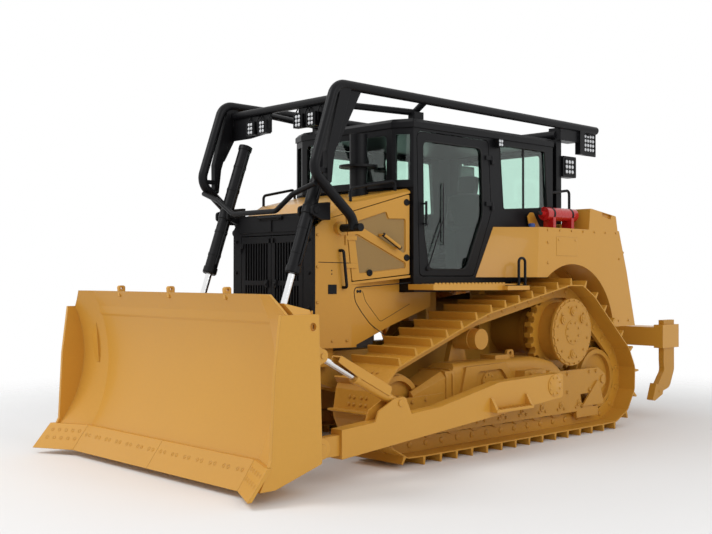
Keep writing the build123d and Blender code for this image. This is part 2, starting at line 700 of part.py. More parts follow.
def make_side_panels():
    """Front panels beside the guard, and the skirts under the engine doors."""
    corner = ENGINE_DOOR[0][0] + PANEL_GAP
    foot = ENGINE_DOOR[3][0] + PANEL_GAP
    front = side_panel([(ENCLOSURE_FRONT, GUARD_BOTTOM), (ENCLOSURE_FRONT, 1985, 30),
                        (GUARD_FRONT_X - GUARD_DEPTH, HOOD_SECTIONS[-1][1] - 1),
                        (corner, 2104), (foot, 1520), (foot, GUARD_BOTTOM)])
    skirt = side_plate([(foot, GUARD_BOTTOM), (foot, 1521), (HOOD_REAR_X, 1581),
                        (HOOD_REAR_X, PLATFORM_Z - 5), (1473, PLATFORM_Z - 5), (1473, 1290),
                        (2000, 1130)], SKIRT_Y - PANEL, SKIRT_Y)
    skirt += side_plate([(foot, GUARD_BOTTOM), (foot, 1521), (foot - 60, 1521),
                         (foot - 60, GUARD_BOTTOM)], SKIRT_Y - PANEL - 60, SKIRT_Y - 2)
    ledge = side_plate([(foot, 1499), (foot, 1521), (HOOD_REAR_X, 1581),
                        (HOOD_REAR_X, 1559)], SKIRT_Y - PANEL, 1000)
    reach = floor_plate([(foot, 0), (foot, half_at(foot)), (HOOD_REAR_X, half_at(HOOD_REAR_X)),
                         (HOOD_REAR_X, 0)], 1400, 1700)
    boss = disc(SWEEP_PIVOT_X, SWEEP_PIVOT_Z, 58, 580, SWEEP_PIVOT_Y)
    x, y, r = ENGINE_HINGE_X, half_at(ENGINE_HINGE_X) + ENGINE_HINGE_RISE, ENGINE_KNUCKLE_R
    for z in ENGINE_HINGE_Z:
        front += disc_up(x, y, r, z, z + KNUCKLE)
        front -= disc_up(x, y, r + 2, z + KNUCKLE, z + 2 * KNUCKLE + 2)
    return front + skirt + boss + (ledge & reach)


def make_engine_door():
    """Door with a diagonal rib between two recessed screens and a grab handle."""
    door = side_panel(ENGINE_DOOR)
    for screen in (UPPER_SCREEN, LOWER_SCREEN):
        door -= side_panel(screen, outside=-1, thickness=15)
    a = (2196, half_at(2196), 1929)
    b = (2037, half_at(2037), 1823)
    out = 52
    for p in (a, b):
        door += bar((p[0], p[1] - 6, p[2]), (p[0], p[1] + out, p[2]), 13)
    x, y = ENGINE_HINGE_X, half_at(ENGINE_HINGE_X) + ENGINE_HINGE_RISE
    for foot in ENGINE_HINGE_Z:
        z = foot + KNUCKLE + GAP
        top = z + KNUCKLE
        door += disc_up(x, y, ENGINE_KNUCKLE_R, z, top)
        door += side_panel([(x, z), (x, top), (2430, top), (2430, z)], outside=-9, thickness=7)
        door += side_panel([(2464, z), (2464, top), (2430, top), (2430, z)], outside=-9,
                           thickness=12)
    return door + bar((a[0], a[1] + out, a[2]), (b[0], b[1] + out, b[2]), 17)


def make_guard():
    """Heavy frame round the grille doors, with the bar above them."""
    face = [(-GUARD_HALF, GUARD_BOTTOM), (-GUARD_HALF, 1985, 30), (-450, BADGE_BAR_TOP, 30),
            (450, BADGE_BAR_TOP, 30), (GUARD_HALF, 1985, 30), (GUARD_HALF, GUARD_BOTTOM)]
    window = block(2700, 2900, -GRILLE_HALF, GRILLE_HALF, GRILLE_BOTTOM, GRILLE_TOP)
    frame = front_plate(face, ENCLOSURE_FRONT, GUARD_FRONT_X)
    inner = GUARD_HALF - PANEL - 2
    core = [(-inner, GUARD_BOTTOM), (-inner, 1985, 30), (-450, BADGE_BAR_TOP - 12, 30),
            (450, BADGE_BAR_TOP - 12, 30), (inner, 1985, 30), (inner, GUARD_BOTTOM)]
    frame += front_plate(core, GUARD_FRONT_X - GUARD_DEPTH, ENCLOSURE_FRONT)
    frame += block(GUARD_FRONT_X - 1, GUARD_FRONT_X + 10, -430, 430, 1955, 2085)
    frame -= window
    x, y, r = GRILLE_HINGE
    for z in GRILLE_HINGE_Z:
        knuckle = disc_up(x, y, r, z, z + KNUCKLE)
        knuckle += block(x - r, x + r, y, y + 24, z, z + KNUCKLE)
        frame += [knuckle, mirrored(knuckle)]
    # yoke brackets: a block on the shoulder and two cheeks round the barrel
    gap = LIFT_BARREL_R + 12
    for side in (-1, 1):
        y = side * LIFT_Y
        shoulder = block(YOKE_X - 152, YOKE_X - 120, y - gap - 26, y + gap + 26,
                         YOKE_Z - 78, YOKE_Z + 70)
        frame += shoulder
        for cheek in (-1, 1):
            a, b = y + cheek * gap, y + cheek * (gap + 26)
            frame += side_plate([(YOKE_X - 152, YOKE_Z - 78), (YOKE_X - 152, YOKE_Z + 70),
                                 (YOKE_X - 20, YOKE_Z + 52, 30), (YOKE_X + 48, YOKE_Z + 30, 30),
                                 (YOKE_X + 48, YOKE_Z - 40, 30), (YOKE_X - 60, YOKE_Z - 78)],
                                min(a, b), max(a, b))
            frame -= disc(YOKE_X, YOKE_Z, YOKE_PIN_R + GAP, min(a, b) - 1, max(a, b) + 1)
    return frame


def make_grille_door():
    """One of two hinged grille doors: a frame with upright bars and a latch."""
    x0, x1 = GUARD_FRONT_X - GRILLE_DOOR, GUARD_FRONT_X
    y0, y1 = PANEL_GAP / 2, GRILLE_HALF - PANEL_GAP
    z0, z1 = GRILLE_BOTTOM + PANEL_GAP, GRILLE_TOP - PANEL_GAP
    door = block(x0, x1, y0, y1, z0, z1)
    count = 9
    first, last = y0 + 46, y1 - 40
    step = (last - first) / count
    middle = (z0 + z1) / 2
    for i in range(count):
        for lo, hi in ((z0 + 45, middle - 20), (middle + 20, z1 - 60)):
            door -= block(x0 - 1, x1 + 1, first + i * step, first + (i + 0.62) * step, lo, hi)
    door += block(x1 - 1, x1 + 16, y0 + 12, y0 + 34, z1 - 58, z1 - 18)
    x, y, r = GRILLE_HINGE
    for foot in GRILLE_HINGE_Z:
        z = foot + KNUCKLE + GAP
        door += disc_up(x, y, r, z, z + KNUCKLE)
        door += block(x - r, x + r, y - 34, y, z, z + KNUCKLE)
    return door


# ---------------------------------------------------------------- cab
LOW_PLAN = [(CAB_REAR_X, 700), (-200, CAB_HALF), (CAB_FRONT_X, CAB_HALF),
            (CAB_FRONT_X, -CAB_HALF), (-200, -CAB_HALF), (CAB_REAR_X, -700)]
HIGH_PLAN = [(CAB_REAR_X, 700), (-200, CAB_HALF), (CAB_FRONT_X, CAB_HALF),
             (NOSE_X, NOSE_HALF), (NOSE_X, -NOSE_HALF), (CAB_FRONT_X, -CAB_HALF),
             (-200, -CAB_HALF), (CAB_REAR_X, -700)]
# cab door, (x, z) from its front top corner, and the glass in it
CAB_DOOR = [(1835, 2862, 60), (845, 2862, 40), (800, 2180, 60), (1066, 1575, 50),
            (1800, 1575, 40)]
DOOR_GLASS = [(1762, 2785, 60), (940, 2785, 60), (915, 2150, 80), (1165, 1632, 60),
              (1680, 1632, 50), (1750, 2000, 80)]
SIDE_WINDOW = [(665, 2840, 40), (-70, 2840, 30), (-110, 2262, 30), (610, 2216, 40)]


def drawn_in(points, distance):
    """A convex plan with every side moved inward."""
    return offset(outline(points), -distance, kind=Kind.INTERSECTION)


def quarter_strip(first, last, outside, thickness):
    """Part of the slanted front corner's plan, between two shares of its length."""
    a = Vector(CAB_FRONT_X, CAB_HALF)
    b = Vector(NOSE_X, NOSE_HALF)
    along = (b - a).normalized()
    inward = Vector(-along.Y, along.X) * -1
    if inward.dot(Vector(-1, -1)) < 0:
        inward = inward * -1
    reach = (b - a).length
    corners = []
    for share, depth in ((first, outside), (last, outside), (last, outside + thickness),
                         (first, outside + thickness)):
        p = a + along * (share * reach) + inward * depth
        corners.append((p.X, p.Y))
    return corners


def window_cutters():
    """Every fixed window of the cab as the block that cuts it."""
    front = front_plate([(-545, 2430, 40), (-545, 2835, 40), (545, 2835, 40),
                         (545, 2430, 40)], NOSE_X - CAB_WALL - 5, NOSE_X + 5)
    rear = front_plate([(-560, 2250, 40), (-560, 2835, 40), (560, 2835, 40),
                        (560, 2250, 40)], CAB_REAR_X - 5, CAB_REAR_X + CAB_WALL + 5)
    side = side_plate(SIDE_WINDOW, CAB_HALF - CAB_WALL - 5, CAB_HALF + 5)
    quarter = floor_plate(quarter_strip(0.17, 0.83, -5, CAB_WALL + 10), 2430, 2835)
    return [front, rear, side, mirrored(side), quarter, mirrored(quarter)]


def well_room(y0, y1, wall):
    """Room over a track: the arch and the slope in front of it, grown by a wall."""
    slope = side_plate([(150, 1400), (150, 1560 + wall), (480 + wall / 2, 1560 + wall),
                        (950, 1450 + wall), (950, 1400)], y0, y1)
    return slope + disc(ARCH_X, ARCH_Z, ARCH_R + wall, y0, y1)


def make_cab_shell():
    """Hollow cab: floor, posts and walls, with its doorways and windows cut."""
    shell = floor_plate(LOW_PLAN, PLATFORM_Z, NOSE_Z)
    shell += floor_plate(HIGH_PLAN, NOSE_Z, CAB_ROOF_Z)
    shell -= extrude(Pos(0, 0, CAB_FLOOR_Z) * drawn_in(LOW_PLAN, CAB_WALL),
                     NOSE_Z - CAB_FLOOR_Z)
    shell -= extrude(Pos(0, 0, NOSE_Z + CAB_WALL) * drawn_in(HIGH_PLAN, CAB_WALL),
                     CAB_ROOF_Z - NOSE_Z)
    shell -= extrude(Pos(0, 0, NOSE_Z - 1) * drawn_in(LOW_PLAN, CAB_WALL), CAB_WALL + 2)
    # wells over the tracks, under the fenders
    hull = floor_plate(LOW_PLAN, PLATFORM_Z, NOSE_Z)
    lining = well_room(TRACK_INNER - 20 - CAB_WALL, CAB_HALF + 1, CAB_WALL) & hull
    room = well_room(TRACK_INNER - 20, CAB_HALF + 2, 0)
    shell = shell + lining + mirrored(lining) - room - mirrored(room)
    doorway = side_plate(grown(CAB_DOOR, PANEL_GAP), CAB_HALF - CAB_WALL - 5, CAB_HALF + 5)
    shell -= [doorway, mirrored(doorway)]
    x, y, r = CAB_HINGE
    for z in CAB_HINGE_Z:
        knuckle = block(x - 30, x, CAB_HALF - 2, y + 4, z, z + KNUCKLE)
        knuckle += disc_up(x, y, r, z, z + KNUCKLE)
        shell += [knuckle, mirrored(knuckle)]
    return shell - window_cutters()


def grown(points, distance):
    """A convex outline with every side moved outward, keeping the corner radii."""
    grown_points = []
    count = len(points)
    for i, p in enumerate(points):
        a, b = points[i - 1], points[(i + 1) % count]
        one = math.atan2(p[1] - a[1], p[0] - a[0])
        two = math.atan2(b[1] - p[1], b[0] - p[0])
        turn = math.remainder(two - one, 2 * math.pi)
        way = one + turn / 2 - math.copysign(math.pi / 2, turn)
        reach = distance / math.cos(turn / 2)
        grown_points.append((p[0] + reach * math.cos(way), p[1] + reach * math.sin(way))
                            + tuple(r + distance for r in p[2:]))
    return grown_points


def make_cab_roof():
    """Roof with its raised middle panel."""
    top = CAB_ROOF_Z + ROOF_THICKNESS
    roof = floor_plate(grown([(p[0], p[1]) for p in HIGH_PLAN], 12), CAB_ROOF_Z, top)
    roof = chamfer(roof.faces().sort_by(Axis.Z)[-1].edges(), 30)
    x0, x1, half = ROOF_PANEL
    return roof + block(x0, x1, -half, half, top - 10, top + ROOF_PANEL_RISE)


def make_cab_glass():
    """Fixed panes in the middle of the cab's wall."""
    inside = (CAB_WALL - GLASS) / 2
    front, rear, left, right, quarter_left, quarter_right = window_cutters()
    x = NOSE_X - inside
    panes = [front & block(x - GLASS, x, -900, 900, 2000, 3000)]
    x = CAB_REAR_X + inside
    panes.append(rear & block(x, x + GLASS, -900, 900, 2000, 3000))
    y = CAB_HALF - inside
    side = left & block(-500, 2000, y - GLASS, y, 2000, 3000)
    strip = floor_plate(quarter_strip(-0.2, 1.2, inside, GLASS), 2300, 2900)
    quarter = quarter_left & strip
    return group(*panes, side, mirrored(side), quarter, mirrored(quarter))


def make_cab_door():
    """Door frame with its handle and hinges; the glass is a piece of its own."""
    y0, y1 = CAB_HALF - DOOR_THICKNESS, CAB_HALF
    door = side_plate(CAB_DOOR, y0, y1) - side_plate(DOOR_GLASS, y0 - 1, y1 + 1)
    x, y, r = CAB_HINGE
    for foot in CAB_HINGE_Z:
        z = foot + KNUCKLE + GAP
        door += disc_up(x, y, r, z, z + KNUCKLE)
        door += block(x, x + 90, y1 + 3, y + 3, z, z + KNUCKLE)
        door += block(x + 50, x + 90, y1 - 2, y + 3, z, z + KNUCKLE)
    handle_x, handle_z = 1745, 2130
    for z in (handle_z - 90, handle_z + 90):
        door += bar((handle_x + 10, y1 - 5, z), (handle_x + 10, y1 + 38, z), 9)
    return door + bar((handle_x + 10, y1 + 38, handle_z - 110),
                      (handle_x + 10, y1 + 38, handle_z + 110), 11)


def make_door_glass():
    middle = CAB_HALF - DOOR_THICKNESS / 2
    return side_plate(DOOR_GLASS, middle - GLASS / 2, middle + GLASS / 2)


def make_seat():
    """Suspension seat on its pedestal, with back and headrest."""
    seat = block(380, 880, -190, 190, CAB_FLOOR_Z, CAB_FLOOR_Z + 260)
    seat += side_plate([(330, 1760, 30), (330, 1880, 40), (900, 1905, 50), (930, 1800, 40),
                        (900, 1760)], -255, 255)
    seat += side_plate([(250, 1780, 30), (150, 2440, 50), (270, 2450, 50), (410, 1790, 20)],
                       -235, 235)
    return seat + side_plate([(150, 2400, 20), (135, 2620, 40), (235, 2630, 40),
                              (255, 2400, 20)], -130, 130)


def make_console():
    """Dash below the windshield and the armrests with their control sticks."""
    dash = side_plate([(1560, CAB_FLOOR_Z), (1600, 2130, 40), (1680, 2260, 40),
                       (1780, 2240, 30), (1820, CAB_FLOOR_Z)], -330, 330)
    arms = []
    for side in (-1, 1):
        y = side * 375
        arm = block(420, 900, y - 70, y + 70, CAB_FLOOR_Z, 2020)
        arm += block(380, 960, y - 55, y + 55, 2019, 2060)
        arms.append(arm + bar((880, y, 2050), (905, y, 2210), 24))
    return group(dash, *arms)


# ---------------------------------------------------------------- fenders and tank
def make_fender():
    """Fender box arched over the track, with its rear top box and slanted front."""
    y0, y1 = CAB_HALF + GAP, FENDER_HALF
    side = [(470, 1560), (440, FENDER_TOP, 20), (-960, FENDER_TOP), (-1110, 1610),
            (-1270, 1040), (-860, 1040)]
    body = side_plate(side, y0, y1) - disc(ARCH_X, ARCH_Z, ARCH_R, y0 - 1, y1 + 1)
    body -= side_plate([(700, 1400), (700, 1559), (200, 1559), (200, 1400)], y0 - 1, y1 + 1)
    inner = Plane(origin=(0, y0, 0), x_dir=(1, 0, 0), z_dir=(0, -1, 0))
    outer = inner.offset(y0 - y1)
    root = outline([(430, 1560), (430, FENDER_TOP - 2), (768, FENDER_TOP - 2), (1030, 1560)])
    edge = outline([(430, 1560), (430, FENDER_TOP - 2), (441, FENDER_TOP - 2), (470, 1560)])
    body += loft([inner * root, outer * edge], ruled=True)
    top = side_plate([(-405, FENDER_TOP - 5), (-425, 2262, 15), (-900, 2198, 20),
                      (-935, FENDER_TOP - 5)], y0, y1)
    slot = side_plate([(-640, 2190, 8), (-640, 2228), (-820, 2203), (-800, 2160, 8)],
                      y1 - 26, y1 + 5)
    wedge = side_plate([(-940, FENDER_TOP - 30), (-1330, 1830), (-1250, 1700), (-1080, 1700)],
                       y0 + 20, y0 + 130)
    bracket = side_plate([(225, FENDER_TOP - 3), (262, 2165, 12), (215, 2205, 12),
                          (165, 2205, 12), (40, FENDER_TOP - 3)], y0 + 20, y0 + 28)
    return body + (top - slot) + wedge + bracket


def make_fuel_tank():
    """Tank between the fenders, on a saddle over the rear case."""
    y = CAB_HALF - 12
    tank = side_plate([(CAB_REAR_X - 8, PLATFORM_Z), (CAB_REAR_X - 8, 2110, 30),
                       (-1050, 2110, 80), (-1190, 1760, 60), (-1120, PLATFORM_Z, 60)], -y, y)
    tank += disc_up(-640, 420, 62, 2109, 2150)
    well = disc(ARCH_X, ARCH_Z, ARCH_R, TRACK_INNER - 20, CAB_HALF)
    tank -= [well, mirrored(well)]
    return tank - block(-1300, -300, -CASE_HALF - 60, CASE_HALF + 60, PLATFORM_Z - 1,
                        TANK_SADDLE_Z)


def disc_up(x, y, r, z0, z1):
    """Upright round bar."""
    return Pos(x, y, (z0 + z1) / 2) * Cylinder(r, z1 - z0)


def make_walkway():
    """Running board beside the cab with a raised gripping edge and a rear toe step."""
    y1 = FENDER_HALF
    z0 = WALKWAY_TOP - WALKWAY_DEPTH
    board = side_plate([(700, WALKWAY_TOP), (1950, WALKWAY_TOP), (1950, z0 + 10, 12), (860, z0),
                        (700, 1475)], CAB_HALF + GAP, y1)
    board -= block(900, 1930, CAB_HALF + 20, y1 - 12, z0 - 1, WALKWAY_TOP - 14)
    for i in range(TREAD_TEETH):
        x = 960 + i * TREAD_STEP
        board += side_plate([(x, WALKWAY_TOP - 1), (x + 10, WALKWAY_TOP + 14),
                             (x + 30, WALKWAY_TOP + 14), (x + 40, WALKWAY_TOP - 1)],
                            y1 - 12, y1)
    return board


def make_toe_step():
    """Black toe step under the rear of the walkway."""
    return block(670, 1000, FENDER_HALF + GAP, FENDER_HALF + 60, WALKWAY_TOP - 58,
                 WALKWAY_TOP - 18)


# ---------------------------------------------------------------- things on the hood and cab
def make_exhaust():
    """Stack with its collar and open top, standing on the hood."""
    x, y = STACK_X, STACK_Y
    foot = HOOD_SECTIONS[1][3] + 40
    stack = disc_up(x, y, 80, foot, 2842)
    stack += disc_up(x, y, 90, foot, 2320)
    stack += disc_up(x, y, 175, 2540, 2562)
    stack -= disc_up(x, y, 68, 2600, 2843)
    return stack - hood_hull(0)


def sweep_side():
    """Left sweep: the long rail, its bent front leg and the parallel plate behind it."""
    y = SWEEP_Y
    rail = tube([(-1009, y, 3138), (2800, y, 3168), (3052, y, 2430),
                 (SWEEP_PIVOT_X + 12, y, 2060), (SWEEP_PIVOT_X, y, SWEEP_PIVOT_Z - 20)],
                140, SWEEP_R)
    pivot = disc(SWEEP_PIVOT_X, SWEEP_PIVOT_Z, 34, SWEEP_PIVOT_Y, SWEEP_Y + 90)
    leg = side_plate([(2690, 3150), (2760, 3150), (2915, 2600), (2912, 2335, 20),
                      (2868, 2335, 20), (2840, 2560), (2640, 3150)], y - 28, y + 28)
    gusset = side_plate([(2500, 3150), (2720, 3150), (2860, 2640, 20), (2790, 2640, 20)],
                        y - 8, y + 8)
    strut = side_plate([(2860, 2420), (3040, 2420), (3030, 2460), (2860, 2460)],
                       y - 12, y + 12)
    tower = side_plate([(-680, 3127), (-680, 2861), (-1054, 2861, 10), (-1054, 3127)],
                       y - 36, y - 26)
    tower += side_plate([(-680, 3127), (-680, 2861), (-760, 2861), (-760, 3127)],
                        y - 36, y + 30)
    post = block(-450, -362, CAB_HALF - 170, CAB_HALF - 70, 2110, 3090)
    arm = block(-700, -362, CAB_HALF - 166, y + 4, 2985, 3116)
    lamp_plate = front_plate([(y, 3060), (190, 3060), (190, 2870), (500, 2840), (y, 2840)],
                             LAMP_PLATE_X - 12, LAMP_PLATE_X)
    return rail + pivot + leg + gusset + strut + tower + post + arm + lamp_plate


def make_sweeps():
    """Guard tubes round the cab, joined by cross beams above the hood and the cab."""
    left = sweep_side()
    frame = left + mirrored(left)
    frame += bar((2700, -SWEEP_Y, 3070), (2700, SWEEP_Y, 3070), 36)
    frame += bar((-900, -SWEEP_Y, 3110), (-900, SWEEP_Y, 3110), 34)
    frame += bar((-385, -SWEEP_Y + 60, 3040), (-385, SWEEP_Y - 60, 3040), 50)
    for side in (-1, 1):
        frame += bar((2700, side * 420, 3070), (1700, side * 640, 3060), 30)
        frame += bar((1700, side * 640, 3060), (1700, side * SWEEP_Y, 3150), 30)
        frame += block(1640, 1760, side * 660 - 40, side * 660 + 40,
                       CAB_ROOF_Z + ROOF_THICKNESS, 3060)
    low = tube([(3018, -SWEEP_Y, 2330), (3045, -520, 2250), (3045, -300, 2120),
                (3045, 300, 2120), (3045, 520, 2250), (3018, SWEEP_Y, 2330)], 90, 22)
    return frame + low


def make_work_lamps():
    """Lamp boxes on the sweeps' plates, on the cab's posts and behind the cab."""
    lamps = [block(x - d, x + d, y - w, y + w, z - h, z + h) for x, y, z, d, w, h in LAMPS]
    return both(group(*lamps))


def make_handrails():
    """Grab rails: a loop on the walkway, one behind the cab and one on the hood."""
    y = FENDER_HALF
    foot = WALKWAY_TOP - 18
    loop = tube([(688, y + 20, foot), (688, y + 20, 1740), (784, y + 20, 1740),
                 (784, y + 20, foot)], 40, 13)
    rear = tube([(-230, 765, 2430), (-540, 765, 2470), (-540, 765, 2110)], 40, 14)
    rear -= floor_plate(LOW_PLAN, PLATFORM_Z, CAB_ROOF_Z)
    hood = tube([(2000, 690, 2330), (2000, 690, 2420), (2460, 600, 2330),
                 (2460, 600, 2200)], 40, 13) - hood_hull(0)
    return group(loop, mirrored(loop), rear, mirrored(rear), hood, mirrored(hood))


def make_extinguisher():
    """Extinguisher lying in two cradles on the left fender."""
    z = 2190
    bottle = bar((-345, 950, z), (160, 950, z), 66) + bar((159, 950, z), (205, 950, z), 26)
    for x in (-250, 60):
        bottle += block(x - 22, x + 22, 890, 1010, FENDER_TOP, z)
    return bottle


# ---------------------------------------------------------------- ripper
def lug(x, z, r, root, y0, y1):
    """Round eye blank joined to the two (x, z) points of its root."""
    return side_plate([*root, (x, z - r), (x, z + r)], y0, y1) + disc(x, z, r, y0, y1)


def lug_pair(x, z, r, root, y, gap, thickness):
    """Two lugs either side of the plane y."""
    return (lug(x, z, r, root, y - gap - thickness, y - gap)
            + lug(x, z, r, root, y + gap, y + gap + thickness))


def cheeks(profile, y, gap, thickness):
    """Two plates of one (x, z) profile either side of the plane y."""
    return (side_plate(profile, y - gap - thickness, y - gap)
            + side_plate(profile, y + gap, y + gap + thickness))


def make_ripper_bracket():
    """Plate on the rear case with the ears of the links and of the lift cylinders."""
    case_rear = -800
    bracket = block(case_rear - 60, case_rear, -420, 420, 625, 1200)
    half = RIP_LINK_WIDTH / 2 + 4
    for side in (-1, 1):
        y = side * RIP_LINK_Y
        for z in (RIP_PIVOT_Z, RIP_PIVOT_Z + RIP_RISE):
            root = [(case_rear - 59, z + 72), (case_rear - 59, z - 72)]
            bracket += lug_pair(RIP_PIVOT_X, z, 56, root, y, half, 22)
            bracket += disc(RIP_PIVOT_X, z, RIP_PIN_R, y - half - 34, y + half + 34)
        y = side * RIP_CYLINDER_Y
        x, z = RIP_CYLINDER_X, RIP_CYLINDER_Z
        root = [(case_rear - 59, z + 70), (case_rear - 59, z - 70)]
        bracket += lug_pair(x, z, 42, root, y, RIP_BARREL_R + 6, 18)
        bracket += disc(x, z, 22, y - RIP_BARREL_R - 24, y + RIP_BARREL_R + 24)
    return bracket


def ripper_link(rise):
    """One link from its bracket pin to its beam pin."""
    a = (RIP_PIVOT_X, RIP_PIVOT_Z + rise)
    b = (RIP_PIN_X, RIP_PIN_Z + rise)
    y0 = RIP_LINK_Y - RIP_LINK_WIDTH / 2
    y1 = RIP_LINK_Y + RIP_LINK_WIDTH / 2
    length = math.hypot(b[0] - a[0], b[1] - a[1])
    across = ((a[1] - b[1]) / length * RIP_LINK_HALF, (b[0] - a[0]) / length * RIP_LINK_HALF)
    link = side_plate([(a[0] + across[0], a[1] + across[1]), (b[0] + across[0], b[1] + across[1]),
                       (b[0] - across[0], b[1] - across[1]), (a[0] - across[0], a[1] - across[1])],
                      y0, y1)
    holes = []
    for x, z in (a, b):
        link += disc(x, z, RIP_LINK_HALF + 8, y0, y1)
        holes.append(disc(x, z, RIP_PIN_R + GAP, y0 - 1, y1 + 1))
    return link - holes


def make_lower_link():
    """H-shaped lower link with the ears of the cylinder rods."""
    link = ripper_link(0)
    frame = link + mirrored(link)
    x, z = RIP_PIVOT_X - RIP_LUG_REACH, RIP_PIVOT_Z + RIP_LUG_RISE
    frame += block(x - 80, x + 70, -RIP_LINK_Y, RIP_LINK_Y, 722, 798)
    for side in (-1, 1):
        ear = [(x - 70, 780), (x - 48, z + 40), (x - 22, z + 56), (x + 22, z + 56),
               (x + 48, z + 40), (x + 70, 780)]
        frame += cheeks(ear, side * RIP_CYLINDER_Y, 36, 18)
    return frame


def make_upper_links():
    link = ripper_link(RIP_RISE)
    return group(link, mirrored(link))


def make_ripper_beam():
    """Cross beam with the towers of the links and a pocket for each shank."""
    beam = block(RIP_BEAM_REAR + 26, RIP_BEAM_FRONT, -RIP_BEAM_HALF, RIP_BEAM_HALF,
                 RIP_BEAM_BOTTOM, RIP_BEAM_TOP)
    for y in SHANKS:
        half = SHANK_THICKNESS / 2 + 34
        lo, hi = max(y - half, -RIP_BEAM_HALF - 12), min(y + half, RIP_BEAM_HALF + 12)
        beam += block(RIP_BEAM_REAR, RIP_BEAM_FRONT, lo, hi, RIP_BEAM_BOTTOM - 20,
                      RIP_BEAM_TOP + 28)
    half = RIP_LINK_WIDTH / 2 + 4
    top = RIP_PIN_Z + RIP_RISE
    tower = [(RIP_BEAM_FRONT - 120, RIP_BEAM_TOP - 10), (RIP_PIN_X - 60, top + 58, 50),
             (RIP_PIN_X + 56, top + 58, 50), (RIP_PIN_X + 56, RIP_PIN_Z - 58, 50),
             (RIP_BEAM_FRONT - 40, RIP_PIN_Z - 58), (RIP_BEAM_FRONT - 40, RIP_BEAM_TOP - 10)]
    for side in (-1, 1):
        y = side * RIP_LINK_Y
        beam += cheeks(tower, y, half, 24)
        for z in (RIP_PIN_Z, top):
            beam += disc(RIP_PIN_X, z, RIP_PIN_R, y - half - 36, y + half + 36)
    for y in SHANKS:
        beam -= grown_shank(y, GAP)
    return beam


def grown_shank(y, gap):
    """The straight upper part of a shank, grown on every side by a gap."""
    half = SHANK_THICKNESS / 2 + gap
    return block(SHANK_REAR - gap, SHANK_FRONT + gap, y - half, y + half, 700, 1200)


def make_shanks():
    """Three curved shanks with a replaceable point each."""
    solids = []
    for y in SHANKS:
        y0, y1 = y - SHANK_THICKNESS / 2, y + SHANK_THICKNESS / 2
        side = [(SHANK_FRONT, 1080), (SHANK_FRONT, 640), (SHANK_FRONT - 10, 520, 80),
                (-1700, 362), (-1760, 285), (-1960, 330, 90), (SHANK_REAR, 520, 80),
                (SHANK_REAR, 1080)]
        point = [(-1664, 390), (-1592, 215), (-1640, 203), (-1800, 262), (-1820, 330)]
        solids.append(side_plate(side, y0, y1) + side_plate(point, y0 - 7, y1 + 7))
    return group(*solids)


def cylinder_ends(pivot, eye, near, far):
    """Two points on the line from a pivot to an eye."""
    length = math.hypot(eye[0] - pivot[0], eye[1] - pivot[1])
    along = ((eye[0] - pivot[0]) / length, (eye[1] - pivot[1]) / length)
    return [(pivot[0] + along[0] * d, pivot[1] + along[1] * d) for d in (near, far)]


def round_between(pivot, eye, near, far, y, r):
    """Round bar on the line from pivot to eye, between two distances from the pivot."""
    a, b = cylinder_ends(pivot, eye, near, far)
    return bar((a[0], y, a[1]), (b[0], y, b[1]), r)


def make_barrel(pivot, eye, y, reach, barrel_r, rod_r, bore_from, lug_r, lug_half, pin_r):
    """Cylinder barrel with its eye on the pivot and a bore for its rod."""
    body = round_between(pivot, eye, 0, reach, y, barrel_r)
    body += round_between(pivot, eye, reach - 46, reach - 6, y, barrel_r + 7)
    body -= disc(pivot[0], pivot[1], lug_r + 3, y - barrel_r - 1, y + barrel_r + 1)
    neck = round_between(pivot, eye, 0, bore_from - 8, y, barrel_r * 0.62)
    body += neck + disc(pivot[0], pivot[1], lug_r, y - lug_half, y + lug_half)
    body -= disc(pivot[0], pivot[1], pin_r + GAP, y - barrel_r, y + barrel_r)
    return body - round_between(pivot, eye, bore_from, reach + 1, y, rod_r + GAP)


RIP_CYLINDER = (RIP_CYLINDER_X, RIP_CYLINDER_Z)
RIP_LUG = (RIP_PIVOT_X - RIP_LUG_REACH, RIP_PIVOT_Z + RIP_LUG_RISE)


def make_ripper_barrels():
    barrel = make_barrel(RIP_CYLINDER, RIP_LUG, RIP_CYLINDER_Y, RIP_GLAND, RIP_BARREL_R,
                         RIP_ROD_R, 46, 40, 40, 22)
    return group(barrel, mirrored(barrel))


def make_ripper_rods():
    length = math.dist(RIP_CYLINDER, RIP_LUG)
    rod = round_between(RIP_CYLINDER, RIP_LUG, length - RIP_ROD_LENGTH, length,
                        RIP_CYLINDER_Y, RIP_ROD_R)
    rod += disc(RIP_LUG[0], RIP_LUG[1], 34, RIP_CYLINDER_Y - 24, RIP_CYLINDER_Y + 24)
    return group(rod, mirrored(rod))


# ---------------------------------------------------------------- push arms and lift
def make_ball():
    """Ring on the track frame's stub that the push arm's socket seats on."""
    ball = disc(TRUNNION_X, TRUNNION_Z, BALL_R, ARM_INNER + 5, ARM_OUTER - 35)
    hole = disc(TRUNNION_X, TRUNNION_Z, STUB_R + GAP, ARM_INNER, ARM_OUTER)
    return ball - hole


TILT_EYE = (TILT_EYE_X, TILT_EYE_Z)
TILT_ROD_EYE = (TILT_ROD_EYE_X, TILT_ROD_EYE_Z)
TILT_LENGTH = math.dist(TILT_EYE, TILT_ROD_EYE)


